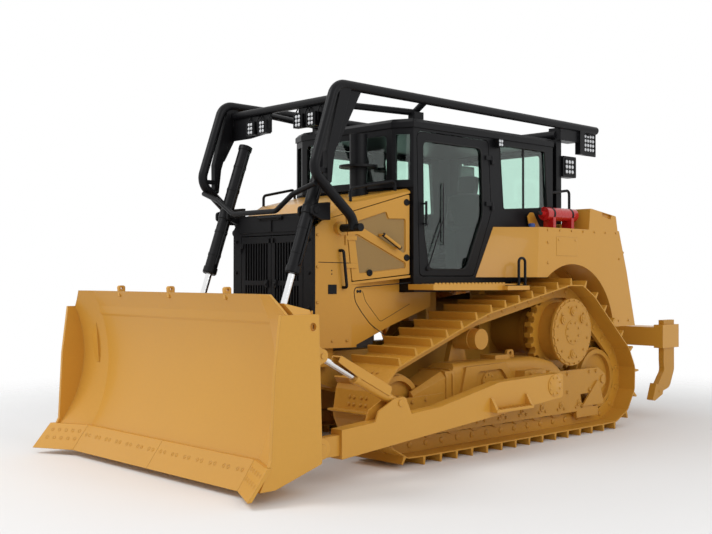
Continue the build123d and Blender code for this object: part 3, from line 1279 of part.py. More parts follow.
def make_push_arm():
    """Box arm with its socket, a hanging step, the tilt ears and the front tongue."""
    y0, y1 = ARM_INNER, ARM_OUTER
    arm = side_plate([(508, 445, 30), (508, 670, 40), (1441, 648), (2223, 500), (3320, 424),
                      (3320, 204)], y0, y1)
    arm -= disc(TRUNNION_X, TRUNNION_Z, BALL_BORE, y0 - 1, y1 - 20)
    middle = TILT_Y
    ear = [(2500, 440), (2560, 470), (2630, 616, 40), (2750, 616, 40), (2933, 530),
           (2975, 430)]
    arm += cheeks(ear, middle, TILT_BARREL_R + 6, 14)
    boss = disc(TILT_EYE_X, TILT_EYE_Z, 34, middle + 27, middle + TILT_BARREL_R + 8)
    arm += [boss, mirror(boss, about=Plane.XZ.offset(-middle))]
    arm += disc(TILT_EYE_X, TILT_EYE_Z, TILT_PIN_R, middle - 58, middle + 58)
    half = ARM_TONGUE / 2
    tongue = lug(FRONT_PIN_X, FRONT_PIN_Z, 75, [(3300, 385), (3300, 230)], middle - half,
                 middle + half)
    tongue -= disc(FRONT_PIN_X, FRONT_PIN_Z, FRONT_PIN_R + GAP, y0, y1)
    arm += tongue
    # step that hangs beside the arm
    arm += block(1060, 1580, y1 + 10, y1 + 80, 398, 424)
    for x in (1060, 1550):
        arm += front_plate([(y1 - 2, 400), (y1 - 2, 520), (y1 + 14, 520), (y1 + 80, 410),
                            (y1 + 80, 398)], x, x + 30)
    return arm


def make_tilt_barrel():
    """Tilt cylinder's barrel with the box plate that shields it."""
    barrel = make_barrel(TILT_EYE, TILT_ROD_EYE, TILT_Y, TILT_BARREL_LENGTH, TILT_BARREL_R,
                         TILT_ROD_R, 64, 40, 25, TILT_PIN_R)
    angle = math.degrees(math.atan2(TILT_ROD_EYE_Z - TILT_EYE_Z, TILT_ROD_EYE_X - TILT_EYE_X))
    shield = side_plate([(130, 6), (130, 62), (150, 80), (745, 80, 12), (745, 24), (520, 6)],
                        -48, 48)
    shield -= side_plate([(120, 0), (120, 66), (760, 66), (760, 0)], -40, 40)
    shield = Pos(TILT_EYE_X, TILT_Y, TILT_EYE_Z) * Rot(0, -angle, 0) * shield
    return barrel + shield


def make_tilt_rod():
    rod = round_between(TILT_EYE, TILT_ROD_EYE, 110, TILT_LENGTH, TILT_Y, TILT_ROD_R)
    rod += disc(TILT_ROD_EYE_X, TILT_ROD_EYE_Z, 44, TILT_Y - 22, TILT_Y + 22)
    return rod - disc(TILT_ROD_EYE_X, TILT_ROD_EYE_Z, TILT_BLADE_PIN_R + TILT_DRIFT,
                      TILT_Y - 30, TILT_Y + 30)


YOKE = (YOKE_X, YOKE_Z)
LIFT_EYE = (LIFT_EYE_X, LIFT_EYE_Z)


def make_lift_barrel():
    """Lift cylinder's barrel, carried by trunnions part way along it."""
    body = round_between(YOKE, LIFT_EYE, -LIFT_ABOVE, LIFT_BELOW, LIFT_Y, LIFT_BARREL_R)
    for a, b, r in ((-LIFT_ABOVE, -LIFT_ABOVE + 40, LIFT_BARREL_R + 6),
                    (-36, 36, LIFT_BARREL_R + 8), (LIFT_BELOW - 60, LIFT_BELOW - 8,
                                                   LIFT_BARREL_R + 7)):
        body += round_between(YOKE, LIFT_EYE, a, b, LIFT_Y, r)
    half = LIFT_BARREL_R + 38
    body += disc(YOKE_X, YOKE_Z, YOKE_PIN_R, LIFT_Y - half, LIFT_Y + half)
    body += round_between(YOKE, LIFT_EYE, -LIFT_ABOVE + 60, LIFT_BELOW - 90,
                          LIFT_Y - LIFT_BARREL_R - 3, 9)
    return body - round_between(YOKE, LIFT_EYE, -LIFT_ABOVE + 30, LIFT_BELOW + 1, LIFT_Y,
                                LIFT_ROD_R + GAP)


def make_lift_rod():
    length = math.dist(YOKE, LIFT_EYE)
    rod = round_between(YOKE, LIFT_EYE, length - LIFT_ROD_LENGTH, length, LIFT_Y, LIFT_ROD_R)
    rod += disc(LIFT_EYE_X, LIFT_EYE_Z, 48, LIFT_Y - 26, LIFT_Y + 26)
    return rod + disc(LIFT_EYE_X, LIFT_EYE_Z, 26, LIFT_Y - 38, LIFT_Y + 38)


# ---------------------------------------------------------------- blade
# front of the moldboard: y, then x of the top, of the middle and of the foot
BLADE_SECTIONS = [
    (-SIDE_PLATE_Y, 4015, 3838, 4072.2, 4183.1),
    (-CREASE_HALF, 3925, 3765, 3927.8, 4027),
    (CREASE_HALF, 3925, 3765, 3927.8, 4027),
    (SIDE_PLATE_Y, 4015, 3838, 4072.2, 4183.1),
]
BLADE_TOP = 1443
BLADE_MIDDLE = 810
BLADE_FOOT = 254           # top of the cutting edge
BLADE_BASE = 120           # bottom of the plate behind the cutting edge
# cutting edge and end bits: y, x of the upper front edge, x of the lower front edge
EDGE_SECTIONS = [(0, 3966, 4117), (CREASE_HALF, 3966, 4117), (TIP_HALF, 4137, TIP_X)]
EDGE_SEAM = 1.5            # half the seam between two cutting edges


def blade_section(y, top, middle, foot, base):
    """Section of the moldboard: its front moved back to give its rear."""
    plane = Plane(origin=(0, y, 0), x_dir=(1, 0, 0), z_dir=(0, -1, 0))
    b = BLADE_PLATE
    edges = [
        ThreePointArc((top, BLADE_TOP), (middle, BLADE_MIDDLE), (foot, BLADE_FOOT)),
        Line((foot, BLADE_FOOT), (base, BLADE_BASE)),
        Line((base, BLADE_BASE), (base - b - 8, BLADE_BASE)),
        Line((base - b - 8, BLADE_BASE), (foot - b - 8, BLADE_FOOT)),
        ThreePointArc((foot - b - 8, BLADE_FOOT), (middle - b, BLADE_MIDDLE),
                      (top - b - 4, BLADE_TOP)),
        Line((top - b - 4, BLADE_TOP), (top, BLADE_TOP)),
    ]
    return plane * make_face(Wire(edges))


def moldboard():
    faces = [blade_section(*section) for section in BLADE_SECTIONS]
    sheets = [loft([a, b], ruled=True) for a, b in zip(faces, faces[1:])]
    return sheets[0] + sheets[1] + sheets[2]


def edge_piece(a, b, grow):
    """Cutting plate between two stations, grown backward and outward by an amount."""
    depth = EDGE_THICKNESS / math.sin(math.atan2(200, 151))
    faces = []
    for station, way in ((a, -1), (b, 1)):
        y, top, foot = station
        plane = Plane(origin=(0, y + way * grow, 0), x_dir=(1, 0, 0), z_dir=(0, -1, 0))
        z0, z1 = TIP_Z, BLADE_FOOT
        faces.append(plane * outline([(top, z1 + grow), (foot, z0), (foot - depth - grow, z0),
                                      (top - depth - grow, z1 + grow)]))
    return loft(faces, ruled=True)


def make_cutting_edges():
    """Two straight edges and two end bits, butted together."""
    middle, corner, tip = EDGE_SECTIONS
    edge = edge_piece((middle[0] + EDGE_SEAM, *middle[1:]),
                      (corner[0] - EDGE_SEAM, *corner[1:]), 0)
    share = EDGE_SEAM / (tip[0] - corner[0])
    bit = edge_piece([a + (b - a) * share for a, b in zip(corner, tip)], tip, 0)
    return group(edge, bit, mirrored(edge), mirrored(bit))


def make_blade():
    """Moldboard with wings, side plates, back beams and the ears of arms and cylinders."""
    blade = moldboard()
    side = side_plate([(3994, 1308, 12), (3644, 1301, 12), (3613, 329), (3613, 226, 20),
                       (4046, 96), (4180, 96), (4078, 300), (4048, 884)],
                      SIDE_PLATE_Y, BLADE_HALF)
    side -= disc(3700, 1210, 30, SIDE_PLATE_Y - 1, BLADE_HALF + 1)
    lower = [(3620, 226), (3620, 520), (3768, 575), (3790, 480), (3905, 240), (4000, 125),
             (3960, 125)]
    upper = [(3680, 1150), (3680, 1330), (3880, 1380), (3835, 1240), (3785, 1150)]
    half = SIDE_PLATE_Y
    blade += side_plate(lower, -half, half) + side_plate(upper, -half, half)
    blade += [side, mirrored(side)]
    web = [(3640, 500), (3700, 1170), (3790, 1170), (3750, 900), (3755, 700), (3785, 500)]
    for y in BLADE_WEBS:
        blade += side_plate(web, y - 12, y + 12)
    # sloped caps over the joint of the wings and the side plates
    cap = front_plate([(CREASE_HALF + 150, 1460), (BLADE_HALF + 5, 1460), (BLADE_HALF + 5, 1300),
                       (SIDE_PLATE_Y - 4, 1300)], 3500, 4200)
    blade -= [cap, mirrored(cap)]
    for y in (-760, 0, 760):
        tab = side_plate([(3860, 1380), (3860, 1492, 20), (3925, 1492, 20), (3915, 1400)],
                         y - 15, y + 15)
        blade += tab - disc(3892, 1468, 12, y - 20, y + 20)
    for side_sign in (-1, 1):
        y = side_sign * LIFT_Y
        root = [(3760, 760), (3760, 430)]
        blade += lug_pair(LIFT_EYE_X, LIFT_EYE_Z, 64, root, y, LIFT_EAR_GAP, 26)
        y = side_sign * TILT_Y
        root = [(3640, 440), (3640, 236)]
        blade += lug_pair(FRONT_PIN_X, FRONT_PIN_Z, 76, root, y, 42, EAR_THICKNESS)
        blade += disc(FRONT_PIN_X, FRONT_PIN_Z, FRONT_PIN_R, y - 76, y + 76)
        bracket = [(3640, 760), (3640, 1170), (3830, 1170), (3800, 800)]
        blade += side_plate(bracket, y - 66, y + 66)
        root = [(3645, 1120), (3645, 850)]
        blade += lug_pair(TILT_ROD_EYE_X, TILT_ROD_EYE_Z, 52, root, y, 27, 22)
        blade += disc(TILT_ROD_EYE_X, TILT_ROD_EYE_Z, TILT_BLADE_PIN_R, y - 56, y + 56)
    corner, tip = EDGE_SECTIONS[1:]
    room = edge_piece((-corner[0], *corner[1:]), corner, GAP)
    bit = edge_piece(corner, tip, GAP)
    return blade - [room, bit, mirrored(bit)]


# ---------------------------------------------------------------- export
os.makedirs("parts", exist_ok=True)

track = make_track()
save_pair("track", track)
save_pair("track_frame", make_track_frame())
save("sprockets", both(make_sprocket()))
save("final_drives", both(make_final_drive()))
idlers = [make_idler(FRONT_IDLER_X, FRONT_IDLER_R), make_idler(REAR_IDLER_X, REAR_IDLER_R)]
save("idlers", both(group(*idlers)))
rollers = [make_roller(roller_x(i)) for i in range(ROLLER_COUNT)]
save("rollers", both(group(*rollers, make_carrier())))

save("main_frame", make_main_frame())
save("rear_case", make_rear_case())
save("engine_block", make_engine())
save("belly_guard", make_belly_guard())
save("equalizer_bar", make_equalizer())
save("hood", make_hood())
save("side_panels", both(make_side_panels()))
save("radiator_guard", make_guard())
save_pair("engine_door", make_engine_door())
save_pair("grille_door", make_grille_door())

save("cab_shell", make_cab_shell())
save("cab_roof", make_cab_roof())
save("cab_glass", make_cab_glass())
save_pair("cab_door", make_cab_door())
save_pair("door_glass", make_door_glass())
save("operator_seat", make_seat())
save("console", make_console())

save_pair("fender", make_fender())
save("fuel_tank", make_fuel_tank())
save("walkways", both(group(make_walkway(), make_toe_step())))
save("exhaust_stack", make_exhaust())
save("sweeps", make_sweeps())
save("work_lamps", make_work_lamps())
save("handrails", make_handrails())
save("fire_extinguisher", make_extinguisher())

save("ripper_bracket", make_ripper_bracket())
save("ripper_lower_link", make_lower_link())
save("ripper_upper_links", make_upper_links())
save("ripper_beam", make_ripper_beam())
save("ripper_shanks", make_shanks())
save("ripper_barrels", make_ripper_barrels())
save("ripper_rods", make_ripper_rods())

save("trunnion_balls", both(make_ball()))
save_pair("push_arm", make_push_arm())
save_pair("tilt_barrel", make_tilt_barrel())
save_pair("tilt_rod", make_tilt_rod())
save_pair("lift_barrel", make_lift_barrel())
save_pair("lift_rod", make_lift_rod())
save("blade", make_blade())
save("cutting_edges", make_cutting_edges())
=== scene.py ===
import math

import bmesh
import bpy
from mathutils import Matrix, Vector


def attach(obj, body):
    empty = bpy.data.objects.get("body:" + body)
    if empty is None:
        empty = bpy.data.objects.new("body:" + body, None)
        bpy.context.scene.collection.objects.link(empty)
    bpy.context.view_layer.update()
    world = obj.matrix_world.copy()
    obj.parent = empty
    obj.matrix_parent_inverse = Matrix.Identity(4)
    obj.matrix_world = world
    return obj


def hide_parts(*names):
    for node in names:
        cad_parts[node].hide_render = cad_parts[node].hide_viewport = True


# Crawler dozer: finishes, fasteners, lamps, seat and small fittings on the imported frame.
# Metres.  Places along X are written from the sprocket axis, as in the part's source.

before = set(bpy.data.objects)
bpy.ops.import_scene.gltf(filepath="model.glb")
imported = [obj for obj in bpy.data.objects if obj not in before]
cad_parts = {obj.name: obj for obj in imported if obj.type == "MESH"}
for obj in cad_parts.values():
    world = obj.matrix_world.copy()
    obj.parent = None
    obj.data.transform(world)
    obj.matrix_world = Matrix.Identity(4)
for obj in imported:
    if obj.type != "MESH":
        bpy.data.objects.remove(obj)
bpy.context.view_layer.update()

# -------- machine dimensions
SPROCKET_X = -1.0865       # sprocket axis in the row frame
SPROCKET_Z = 1.02
TRACK_Y = 0.94
PITCH = 0.203
PIN_Z = 0.138              # pin line under the rollers
SHOE_FACE = 0.073          # outer face of a shoe, above its pin line
FRAME_FACE = 1.1           # outer face of a roller frame
DRUM_OUTER = 1.18
ARM_OUTER = 1.42
ARM_MIDDLE = 1.36
FENDER_HALF = 1.1
CAB_HALF = 0.8
GUARD_FRONT_X = 2.85
GUARD_HALF = 0.55
ENCLOSURE_FRONT = 2.82
ENCLOSURE_TAPER = 0.232
WALKWAY_TOP = 1.4995
BEDDING = 0.0005           # depth of a washer in its plate

SIDES = (1, -1)
SIDE_NAMES = {1: "left", -1: "right"}
X, Y, Z = Vector((1, 0, 0)), Vector((0, 1, 0)), Vector((0, 0, 1))


def at(x, y, z):
    """Point given from the sprocket axis, in the row frame."""
    return Vector((x + SPROCKET_X, y, z))


# -------- shader helpers
def set_inputs(tree, node, values):
    """Link or set a node's inputs, by name or number."""
    for key, value in values.items():
        if isinstance(value, bpy.types.NodeSocket):
            tree.links.new(value, node.inputs[key])
        else:
            node.inputs[key].default_value = value
    return node


def add_node(tree, kind, values=None, **settings):
    """Node with its settings and its inputs."""
    node = tree.nodes.new(kind)
    for key, value in settings.items():
        setattr(node, key, value)
    return set_inputs(tree, node, values or {})


def add_math(tree, operation, one, two, clamp=False):
    return add_node(tree, "ShaderNodeMath", {0: one, 1: two}, operation=operation,
                    use_clamp=clamp).outputs[0]


def add_noise(tree, where, scale, detail):
    return add_node(tree, "ShaderNodeTexNoise",
                    {"Vector": where, "Scale": scale, "Detail": detail}).outputs[0]


def add_wave(tree, where, scale, direction="X"):
    return add_node(tree, "ShaderNodeTexWave", {"Vector": where, "Scale": scale},
                    bands_direction=direction).outputs["Fac"]


def add_range(tree, value, low, high):
    """Share from 0 at low to 1 at high."""
    return add_node(tree, "ShaderNodeMapRange",
                    {"Value": value, "From Min": low, "From Max": high}).outputs[0]


def add_mix(tree, share, one, two):
    return add_node(tree, "ShaderNodeMix", {"Factor": share, "A": one, "B": two},
                    data_type="RGBA").outputs["Result"]


def add_bump(tree, height, **values):
    return add_node(tree, "ShaderNodeBump", {"Height": height, **values}).outputs[0]


def add_place(tree):
    return add_node(tree, "ShaderNodeTexCoord").outputs["Object"]


def new_group(name, inputs, outputs):
    """Node group with named sockets: its tree, its entry's sockets and its last node."""
    group = bpy.data.node_groups.new(name, "ShaderNodeTree")
    for label, default in inputs.items():
        kind = "NodeSocketColor" if isinstance(default, tuple) else "NodeSocketFloat"
        made = group.interface.new_socket(name=label, in_out="INPUT", socket_type=kind)
        made.default_value = default
    for label, kind in outputs.items():
        group.interface.new_socket(name=label, in_out="OUTPUT", socket_type=kind)
    entry = group.nodes.new("NodeGroupInput")
    return group, entry.outputs, group.nodes.new("NodeGroupOutput")


def make_paint_tone():
    """Slow change of brightness over a painted plate, and a little dust where it faces up."""
    group, entry, leave = new_group(
        "paint tone",
        {"Color": (0.5, 0.3, 0.1, 1), "Dust Color": (0.45, 0.36, 0.24, 1), "Variation": 0.08,
         "Dust": 0.1}, {"Color": "NodeSocketColor", "Rough Change": "NodeSocketFloat"})
    where = add_place(group)
    slow = add_noise(group, where, scale=1.7, detail=4.0)
    fine = add_noise(group, where, scale=38.0, detail=6.0)
    centred = add_math(group, "SUBTRACT", add_math(group, "ADD", slow, fine), 1.0)
    change = add_math(group, "MULTIPLY", centred, entry["Variation"])
    toned = add_node(group, "ShaderNodeHueSaturation",
                     {"Value": add_math(group, "ADD", change, 1.0), "Color": entry["Color"]})
    normal = add_node(group, "ShaderNodeNewGeometry").outputs["Normal"]
    up = add_node(group, "ShaderNodeSeparateXYZ", {0: normal}).outputs["Z"]
    lying = add_math(group, "MULTIPLY", add_range(group, up, low=0.3, high=1.0),
                     add_range(group, fine, low=0.42, high=0.7))
    film = add_math(group, "MULTIPLY", lying, entry["Dust"], clamp=True)
    rough = add_math(group, "MULTIPLY", fine, 0.22)
    set_inputs(group, leave,
               {"Color": add_mix(group, film, toned.outputs[0], entry["Dust Color"]),
                "Rough Change": add_math(group, "ADD", rough, film)})
    return group


def make_edge_wear():
    """Mask along sharp edges, broken up by noise, and the normal of a softened edge."""
    group, entry, leave = new_group(
        "edge wear", {"Radius": 0.006, "Amount": 0.5},
        {"Mask": "NodeSocketFloat", "Normal": "NodeSocketVector"})
    soft = add_node(group, "ShaderNodeBevel", {"Radius": entry["Radius"]}, samples=4).outputs[0]
    flat = add_node(group, "ShaderNodeNewGeometry").outputs["Normal"]
    along = add_node(group, "ShaderNodeVectorMath", {0: soft, 1: flat},
                     operation="DOT_PRODUCT").outputs["Value"]
    noise = add_noise(group, add_place(group), scale=22.0, detail=8.0)
    mask = add_math(group, "MULTIPLY", add_range(group, along, low=0.995, high=0.86),
                    add_range(group, noise, low=0.4, high=0.62))
    set_inputs(group, leave,
               {"Mask": add_math(group, "MULTIPLY", mask, entry["Amount"], clamp=True),
                "Normal": soft})
    return group


def make_fine_grain():
    """Height of cast or sprayed grain."""
    group, entry, leave = new_group("fine grain", {"Scale": 300.0, "Depth": 1.0},
                                    {"Height": "NodeSocketFloat"})
    noise = add_noise(group, add_place(group), scale=entry["Scale"], detail=3.0)
    set_inputs(group, leave, {"Height": add_math(group, "MULTIPLY", noise, entry["Depth"])})
    return group


PAINT_TONE = make_paint_tone()
EDGE_WEAR = make_edge_wear()
FINE_GRAIN = make_fine_grain()


# -------- finishes
def group_node(tree, group, values):
    return add_node(tree, "ShaderNodeGroup", values, node_tree=group).outputs


def start_material(name):
    material = bpy.data.materials.new(name)
    material.use_nodes = True
    tree = material.node_tree
    return material, tree, tree.nodes["Principled BSDF"]


def painted(name, colour, roughness, wear_colour, variation=0.08, dust=0.12, wear=0.35,
            metallic=0.0, grain=260.0, grain_depth=0.05, coat=0.0, specular=0.3):
    """Painted or bare metal: toned colour, dust, worn edges and a fine grain."""
    material, tree, shader = start_material(name)
    tone = group_node(tree, PAINT_TONE,
                      {"Color": (*colour, 1), "Variation": variation, "Dust": dust})
    edge = group_node(tree, EDGE_WEAR, {"Amount": wear})
    height = group_node(tree, FINE_GRAIN, {"Scale": grain, "Depth": grain_depth})[0]
    set_inputs(tree, shader, {
        "Base Color": add_mix(tree, edge["Mask"], tone["Color"], (*wear_colour, 1)),
        "Roughness": add_math(tree, "ADD", tone["Rough Change"], roughness, clamp=True),
        "Metallic": metallic, "Coat Weight": coat, "Specular IOR Level": specular,
        "Normal": add_bump(tree, height, Normal=edge["Normal"], Strength=0.25,
                           Distance=0.002)})
    return material


def window_glass():
    """Green tinted safety glass."""
    material, tree, shader = start_material("tinted glass")
    set_inputs(tree, shader, {"Base Color": (0.7, 0.88, 0.8, 1), "Transmission Weight": 1.0,
                              "Roughness": 0.02, "IOR": 1.45})
    return material


def lamp_light():
    """Clear ribbed lens with a faint glow."""
    material, tree, shader = start_material("lamp lens")
    ripple = add_wave(tree, add_place(tree), scale=60.0)
    set_inputs(tree, shader, {"Base Color": (0.62, 0.64, 0.66, 1), "Roughness": 0.08,
                              "Emission Color": (1, 1, 1, 1), "Emission Strength": 0.06,
                              "Normal": add_bump(tree, ripple, Strength=0.2, Distance=0.001)})
    return material


def woven_fabric():
    """Dark seat cloth with a fine weave."""
    material, tree, shader = start_material("seat cloth")
    where = add_place(tree)
    weave = add_math(tree, "MULTIPLY", add_wave(tree, where, scale=160.0, direction="Y"),
                     add_wave(tree, where, scale=160.0, direction="Z"))
    set_inputs(tree, shader, {
        "Base Color": add_mix(tree, weave, (0.012, 0.012, 0.014, 1), (0.05, 0.05, 0.055, 1)),
        "Roughness": 0.9, "Sheen Weight": 0.3,
        "Normal": add_bump(tree, weave, Strength=0.4, Distance=0.001)})
    return material


def punched_screen():
    """Tan sheet with rows of small punched holes, drawn as dots of painted shade with a dip."""
    material, tree, shader = start_material("punched screen")
    flat = add_node(tree, "ShaderNodeMapping", {"Vector": add_place(tree), "Scale": (1, 0, 1)})
    cells = add_node(tree, "ShaderNodeTexVoronoi",
                     {"Vector": flat.outputs[0], "Scale": 130.0, "Randomness": 0.0})
    depth = cells.outputs["Distance"]
    # the dark dots in the holes are painted shade, standing in for the dark space behind the
    # sheet
    hole_shade = add_range(tree, depth, low=0.36, high=0.3)
    set_inputs(tree, shader, {
        "Base Color": add_mix(tree, hole_shade, (0.4, 0.235, 0.06, 1), (0.14, 0.085, 0.03, 1)),
        "Roughness": 0.55, "Normal": add_bump(tree, depth, Strength=0.3, Distance=0.002)})
    return material


WORN_BLACK = (0.035, 0.035, 0.038)
YELLOW = painted("machine yellow", (0.62, 0.305, 0.04), 0.26, (0.74, 0.44, 0.12),
                 variation=0.05, dust=0.05, wear=0.3, coat=0.15)
BLADE_YELLOW = painted("blade yellow", (0.66, 0.335, 0.05), 0.24, (0.76, 0.48, 0.16),
                       variation=0.06, dust=0.03, wear=0.35, coat=0.1)
# darker copy of the machine yellow for the undercarriage and other low parts, which wear the
# same paint: the darkening is painted shade
SHADED_FRAME_YELLOW = painted("undercarriage yellow with painted shade", (0.53, 0.255, 0.032), 0.3, (0.66, 0.4, 0.12),
                       variation=0.14, dust=0.1, wear=0.4, grain=120.0, grain_depth=0.25)
# darker copy of the machine yellow for the track shoes and sprockets, which wear the same
# paint: the darkening is painted shade
SHADED_SHOE_YELLOW = painted("shoe yellow with painted shade", (0.56, 0.27, 0.03), 0.32, (0.7, 0.44, 0.14),
                      variation=0.14, dust=0.06, wear=0.5, grain=140.0, grain_depth=0.25)
BLACK = painted("black paint", (0.0055, 0.0055, 0.0065), 0.3, WORN_BLACK,
                variation=0.15, dust=0.01, wear=0.4, specular=0.16)
GUARD_BLACK = painted("radiator guard black", (0.006, 0.006, 0.007), 0.38, WORN_BLACK,
                      variation=0.15, dust=0.01, wear=0.4, grain=500.0, grain_depth=0.15,
                      specular=0.14)
CAST = painted("cast iron", (0.12, 0.105, 0.09), 0.5, (0.3, 0.29, 0.27), metallic=0.4,
               grain=90.0, grain_depth=0.5)
CHROME = painted("rod chrome", (0.8, 0.8, 0.8), 0.03, (0.85, 0.85, 0.85),
                 variation=0.02, dust=0.0, wear=0.0, metallic=1.0, grain_depth=0.0)
RED = painted("extinguisher red", (0.5, 0.012, 0.012), 0.16, (0.6, 0.1, 0.08),
              variation=0.04, dust=0.02, wear=0.15, coat=0.4)
PLASTIC = painted("moulded plastic", (0.035, 0.035, 0.038), 0.52, (0.07, 0.07, 0.07),
                  dust=0.02, wear=0.15, grain=700.0, grain_depth=0.3)
RUBBER = painted("rubber", (0.014, 0.014, 0.014), 0.62, (0.03, 0.03, 0.03),
                 dust=0.02, wear=0.1, grain=400.0, grain_depth=0.2)
AMBER = painted("amber marker", (0.75, 0.16, 0.01), 0.12, (0.8, 0.2, 0.02),
                dust=0.0, wear=0.0, coat=0.5)
BLUE = painted("blue cap", (0.03, 0.08, 0.3), 0.3, (0.05, 0.12, 0.35), wear=0.1)
GLASS = window_glass()
LENS = lamp_light()
CLOTH = woven_fabric()
SCREEN = punched_screen()

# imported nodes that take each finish; a name that ends in _ stands for left and right
FINISHED_NODES = {
    YELLOW: """hood side_panels fuel_tank walkways ripper_bracket ripper_lower_link
        ripper_upper_links ripper_beam ripper_barrels engine_door_ fender_ push_arm_
        tilt_barrel_""",
    BLADE_YELLOW: "blade cutting_edges",
    SHADED_FRAME_YELLOW: """main_frame rear_case belly_guard equalizer_bar track_frame_ idlers
        rollers final_drives ripper_shanks""",
    SHADED_SHOE_YELLOW: "track_ sprockets",
    BLACK: """cab_shell cab_roof cab_door_ sweeps exhaust_stack handrails lift_barrel_
        work_lamps""",
    GUARD_BLACK: "radiator_guard grille_door_",
    CAST: "engine_block trunnion_balls",
    CHROME: "tilt_rod_ lift_rod_ ripper_rods",
    RED: "fire_extinguisher",
    PLASTIC: "console",
    GLASS: "cab_glass door_glass_",
    CLOTH: "operator_seat",
}
for finish, names in FINISHED_NODES.items():
    for name in names.split():
        for ending in SIDE_NAMES.values() if name.endswith("_") else [""]:
            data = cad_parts[name + ending].data
            data.materials.clear()
            data.materials.append(finish)


# -------- mesh helpers
def axes_along(axis):
    """Two unit vectors square to an axis."""
    axis = axis.normalized()
    one = axis.cross(Z if abs(axis.z) < 0.9 else X).normalized()
    return one, axis.cross(one).normalized()


def circle_steps(count, r, shift=0.0):
    """Offsets of places evenly spaced on a circle, turned by a share of one step."""
    angles = [2 * math.pi * (i + shift) / count for i in range(count)]
    return [(r * math.cos(a), r * math.sin(a)) for a in angles]


def add_ring(bm, centre, one, two, r, sides):
    """Circle of vertices in the plane of two unit vectors."""
    return [bm.verts.new(centre + one * c + two * s) for c, s in circle_steps(sides, r)]


def join_rings(bm, a, b):
    for i in range(len(a)):
        j = (i + 1) % len(a)
        bm.faces.new((a[i], a[j], b[j], b[i]))


def close_tube(bm, rings):
    """Walls between rings, and flat ends."""
    for a, b in zip(rings, rings[1:]):
        join_rings(bm, a, b)
    bm.faces.new(rings[0][::-1])
    bm.faces.new(rings[-1])


def add_turned(bm, base, axis, profile, sides=24):
    """Turned shape: profile holds (radius, distance along the axis) from the base."""
    axis = axis.normalized()
    one, two = axes_along(axis)
    close_tube(bm, [add_ring(bm, base + axis * d, one, two, r, sides) for r, d in profile])


def add_cap(bm, base, axis, r, lip, top_r, height, sides=20):
    """Round cap: straight up to its lip, then drawn in to its top."""
    add_turned(bm, base, axis, [(r, 0), (r, lip), (top_r, height)], sides)


def add_band(bm, base, axis, inner, outer, width, sides=32):
    """Clamp band round a tube."""
    one, two = axes_along(axis)
    rings = [add_ring(bm, base + axis * d, one, two, r, sides)
             for r, d in ((inner, 0), (outer, 0), (outer, width), (inner, width))]
    for a, b in zip(rings, rings[1:] + rings[:1]):
        join_rings(bm, a, b)


def add_bolt(bm, base, axis, r):
    """Hexagon bolt on its washer."""
    washer_r, washer_top = r * 1.35, r * 0.2
    add_turned(bm, base, axis, [(washer_r, 0), (washer_r, washer_top)], 12)
    add_turned(bm, base + axis.normalized() * washer_top, axis,
               [(r, 0), (r, r * 0.55), (r * 0.82, r * 0.7)], 6)


def add_side_bolts(bm, places, y, side, r):
    """Bolts that face sideways at places (x, z)."""
    for x, z in places:
        add_bolt(bm, at(x, side * y, z), Y * side, r)


def add_bolt_circle(bm, middle, y, side, circle_r, count, r, shift=0.0):
    """Bolts that face sideways on a circle round a middle (x, z)."""
    places = [(middle[0] + c, middle[1] + s) for c, s in circle_steps(count, circle_r, shift)]
    add_side_bolts(bm, places, y, side, r)


def add_plow_bolt(bm, base, axis, r=0.017):
    """Countersunk bolt head, almost flush."""
    add_turned(bm, base - axis * 0.001, axis, [(r, 0), (r, 0.003), (r * 0.8, 0.0045),
                                               (r * 0.62, 0.0045), (r * 0.55, 0.002)], 14)


def add_block(bm, low, high, bevel=0.0):
    """Block from its corners, its edges broken by a bevel."""
    made = bmesh.ops.create_cube(bm, size=1.0)["verts"]
    for v in made:
        v.co = Vector((low[i] + (v.co[i] + 0.5) * (high[i] - low[i]) for i in range(3)))
    if bevel:
        edges = list(dict.fromkeys(e for v in made for e in v.link_edges))
        bmesh.ops.bevel(bm, geom=edges, offset=bevel, segments=2, affect="EDGES")


def add_plate(bm, outline, thickness):
    """Flat plate: an outline in space, thickened along its normal."""
    normal = (outline[1] - outline[0]).cross(outline[2] - outline[1]).normalized()
    top = [bm.verts.new(p + normal * thickness) for p in outline]
    low = [bm.verts.new(p) for p in outline]
    bm.faces.new(top)
    bm.faces.new(low[::-1])
    join_rings(bm, low, top)


def add_pipe(bm, points, r, sides=8):
    """Bent pipe through points, mitred at its corners."""
    rings = []
    one = axes_along(points[1] - points[0])[0]
    for i, p in enumerate(points):
        before = (p - points[i - 1]).normalized() if i else (points[1] - p).normalized()
        after = (points[i + 1] - p).normalized() if i + 1 < len(points) else before
        along = (before + after).normalized()
        one = (one - along * one.dot(along)).normalized()
        stretch = 1 / max(0.5, along.dot(after))
        rings.append(add_ring(bm, p, one, along.cross(one), r * stretch, sides))
    close_tube(bm, rings)


def rounded_run(points, radius, steps=6):
    """Points of a route whose corners are rounded, for rigid bent rods."""
    run = [points[0]]
    for a, b, c in zip(points, points[1:], points[2:]):
        back, ahead = (a - b).normalized(), (c - b).normalized()
        reach = min(radius, (a - b).length * 0.45, (c - b).length * 0.45)
        start, end = b + back * reach, b + ahead * reach
        for i in range(steps + 1):
            t = i / steps
            run.append(start.lerp(b, t).lerp(b.lerp(end, t), t))
    run.append(points[-1])
    return run


def piece(name, bm, finish, body="chassis", smooth=True):
    """Turn a bmesh into a named piece that rides on a body."""
    bmesh.ops.recalc_face_normals(bm, faces=bm.faces)
    mesh = bpy.data.meshes.new(name)
    bm.to_mesh(mesh)
    bm.free()
    mesh.materials.append(finish)
    if smooth:
        mesh.shade_smooth()
        mesh.set_sharp_from_angle(angle=math.radians(32))
    obj = bpy.data.objects.new(name, mesh)
    bpy.context.collection.objects.link(obj)
    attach(obj, body)
    return obj


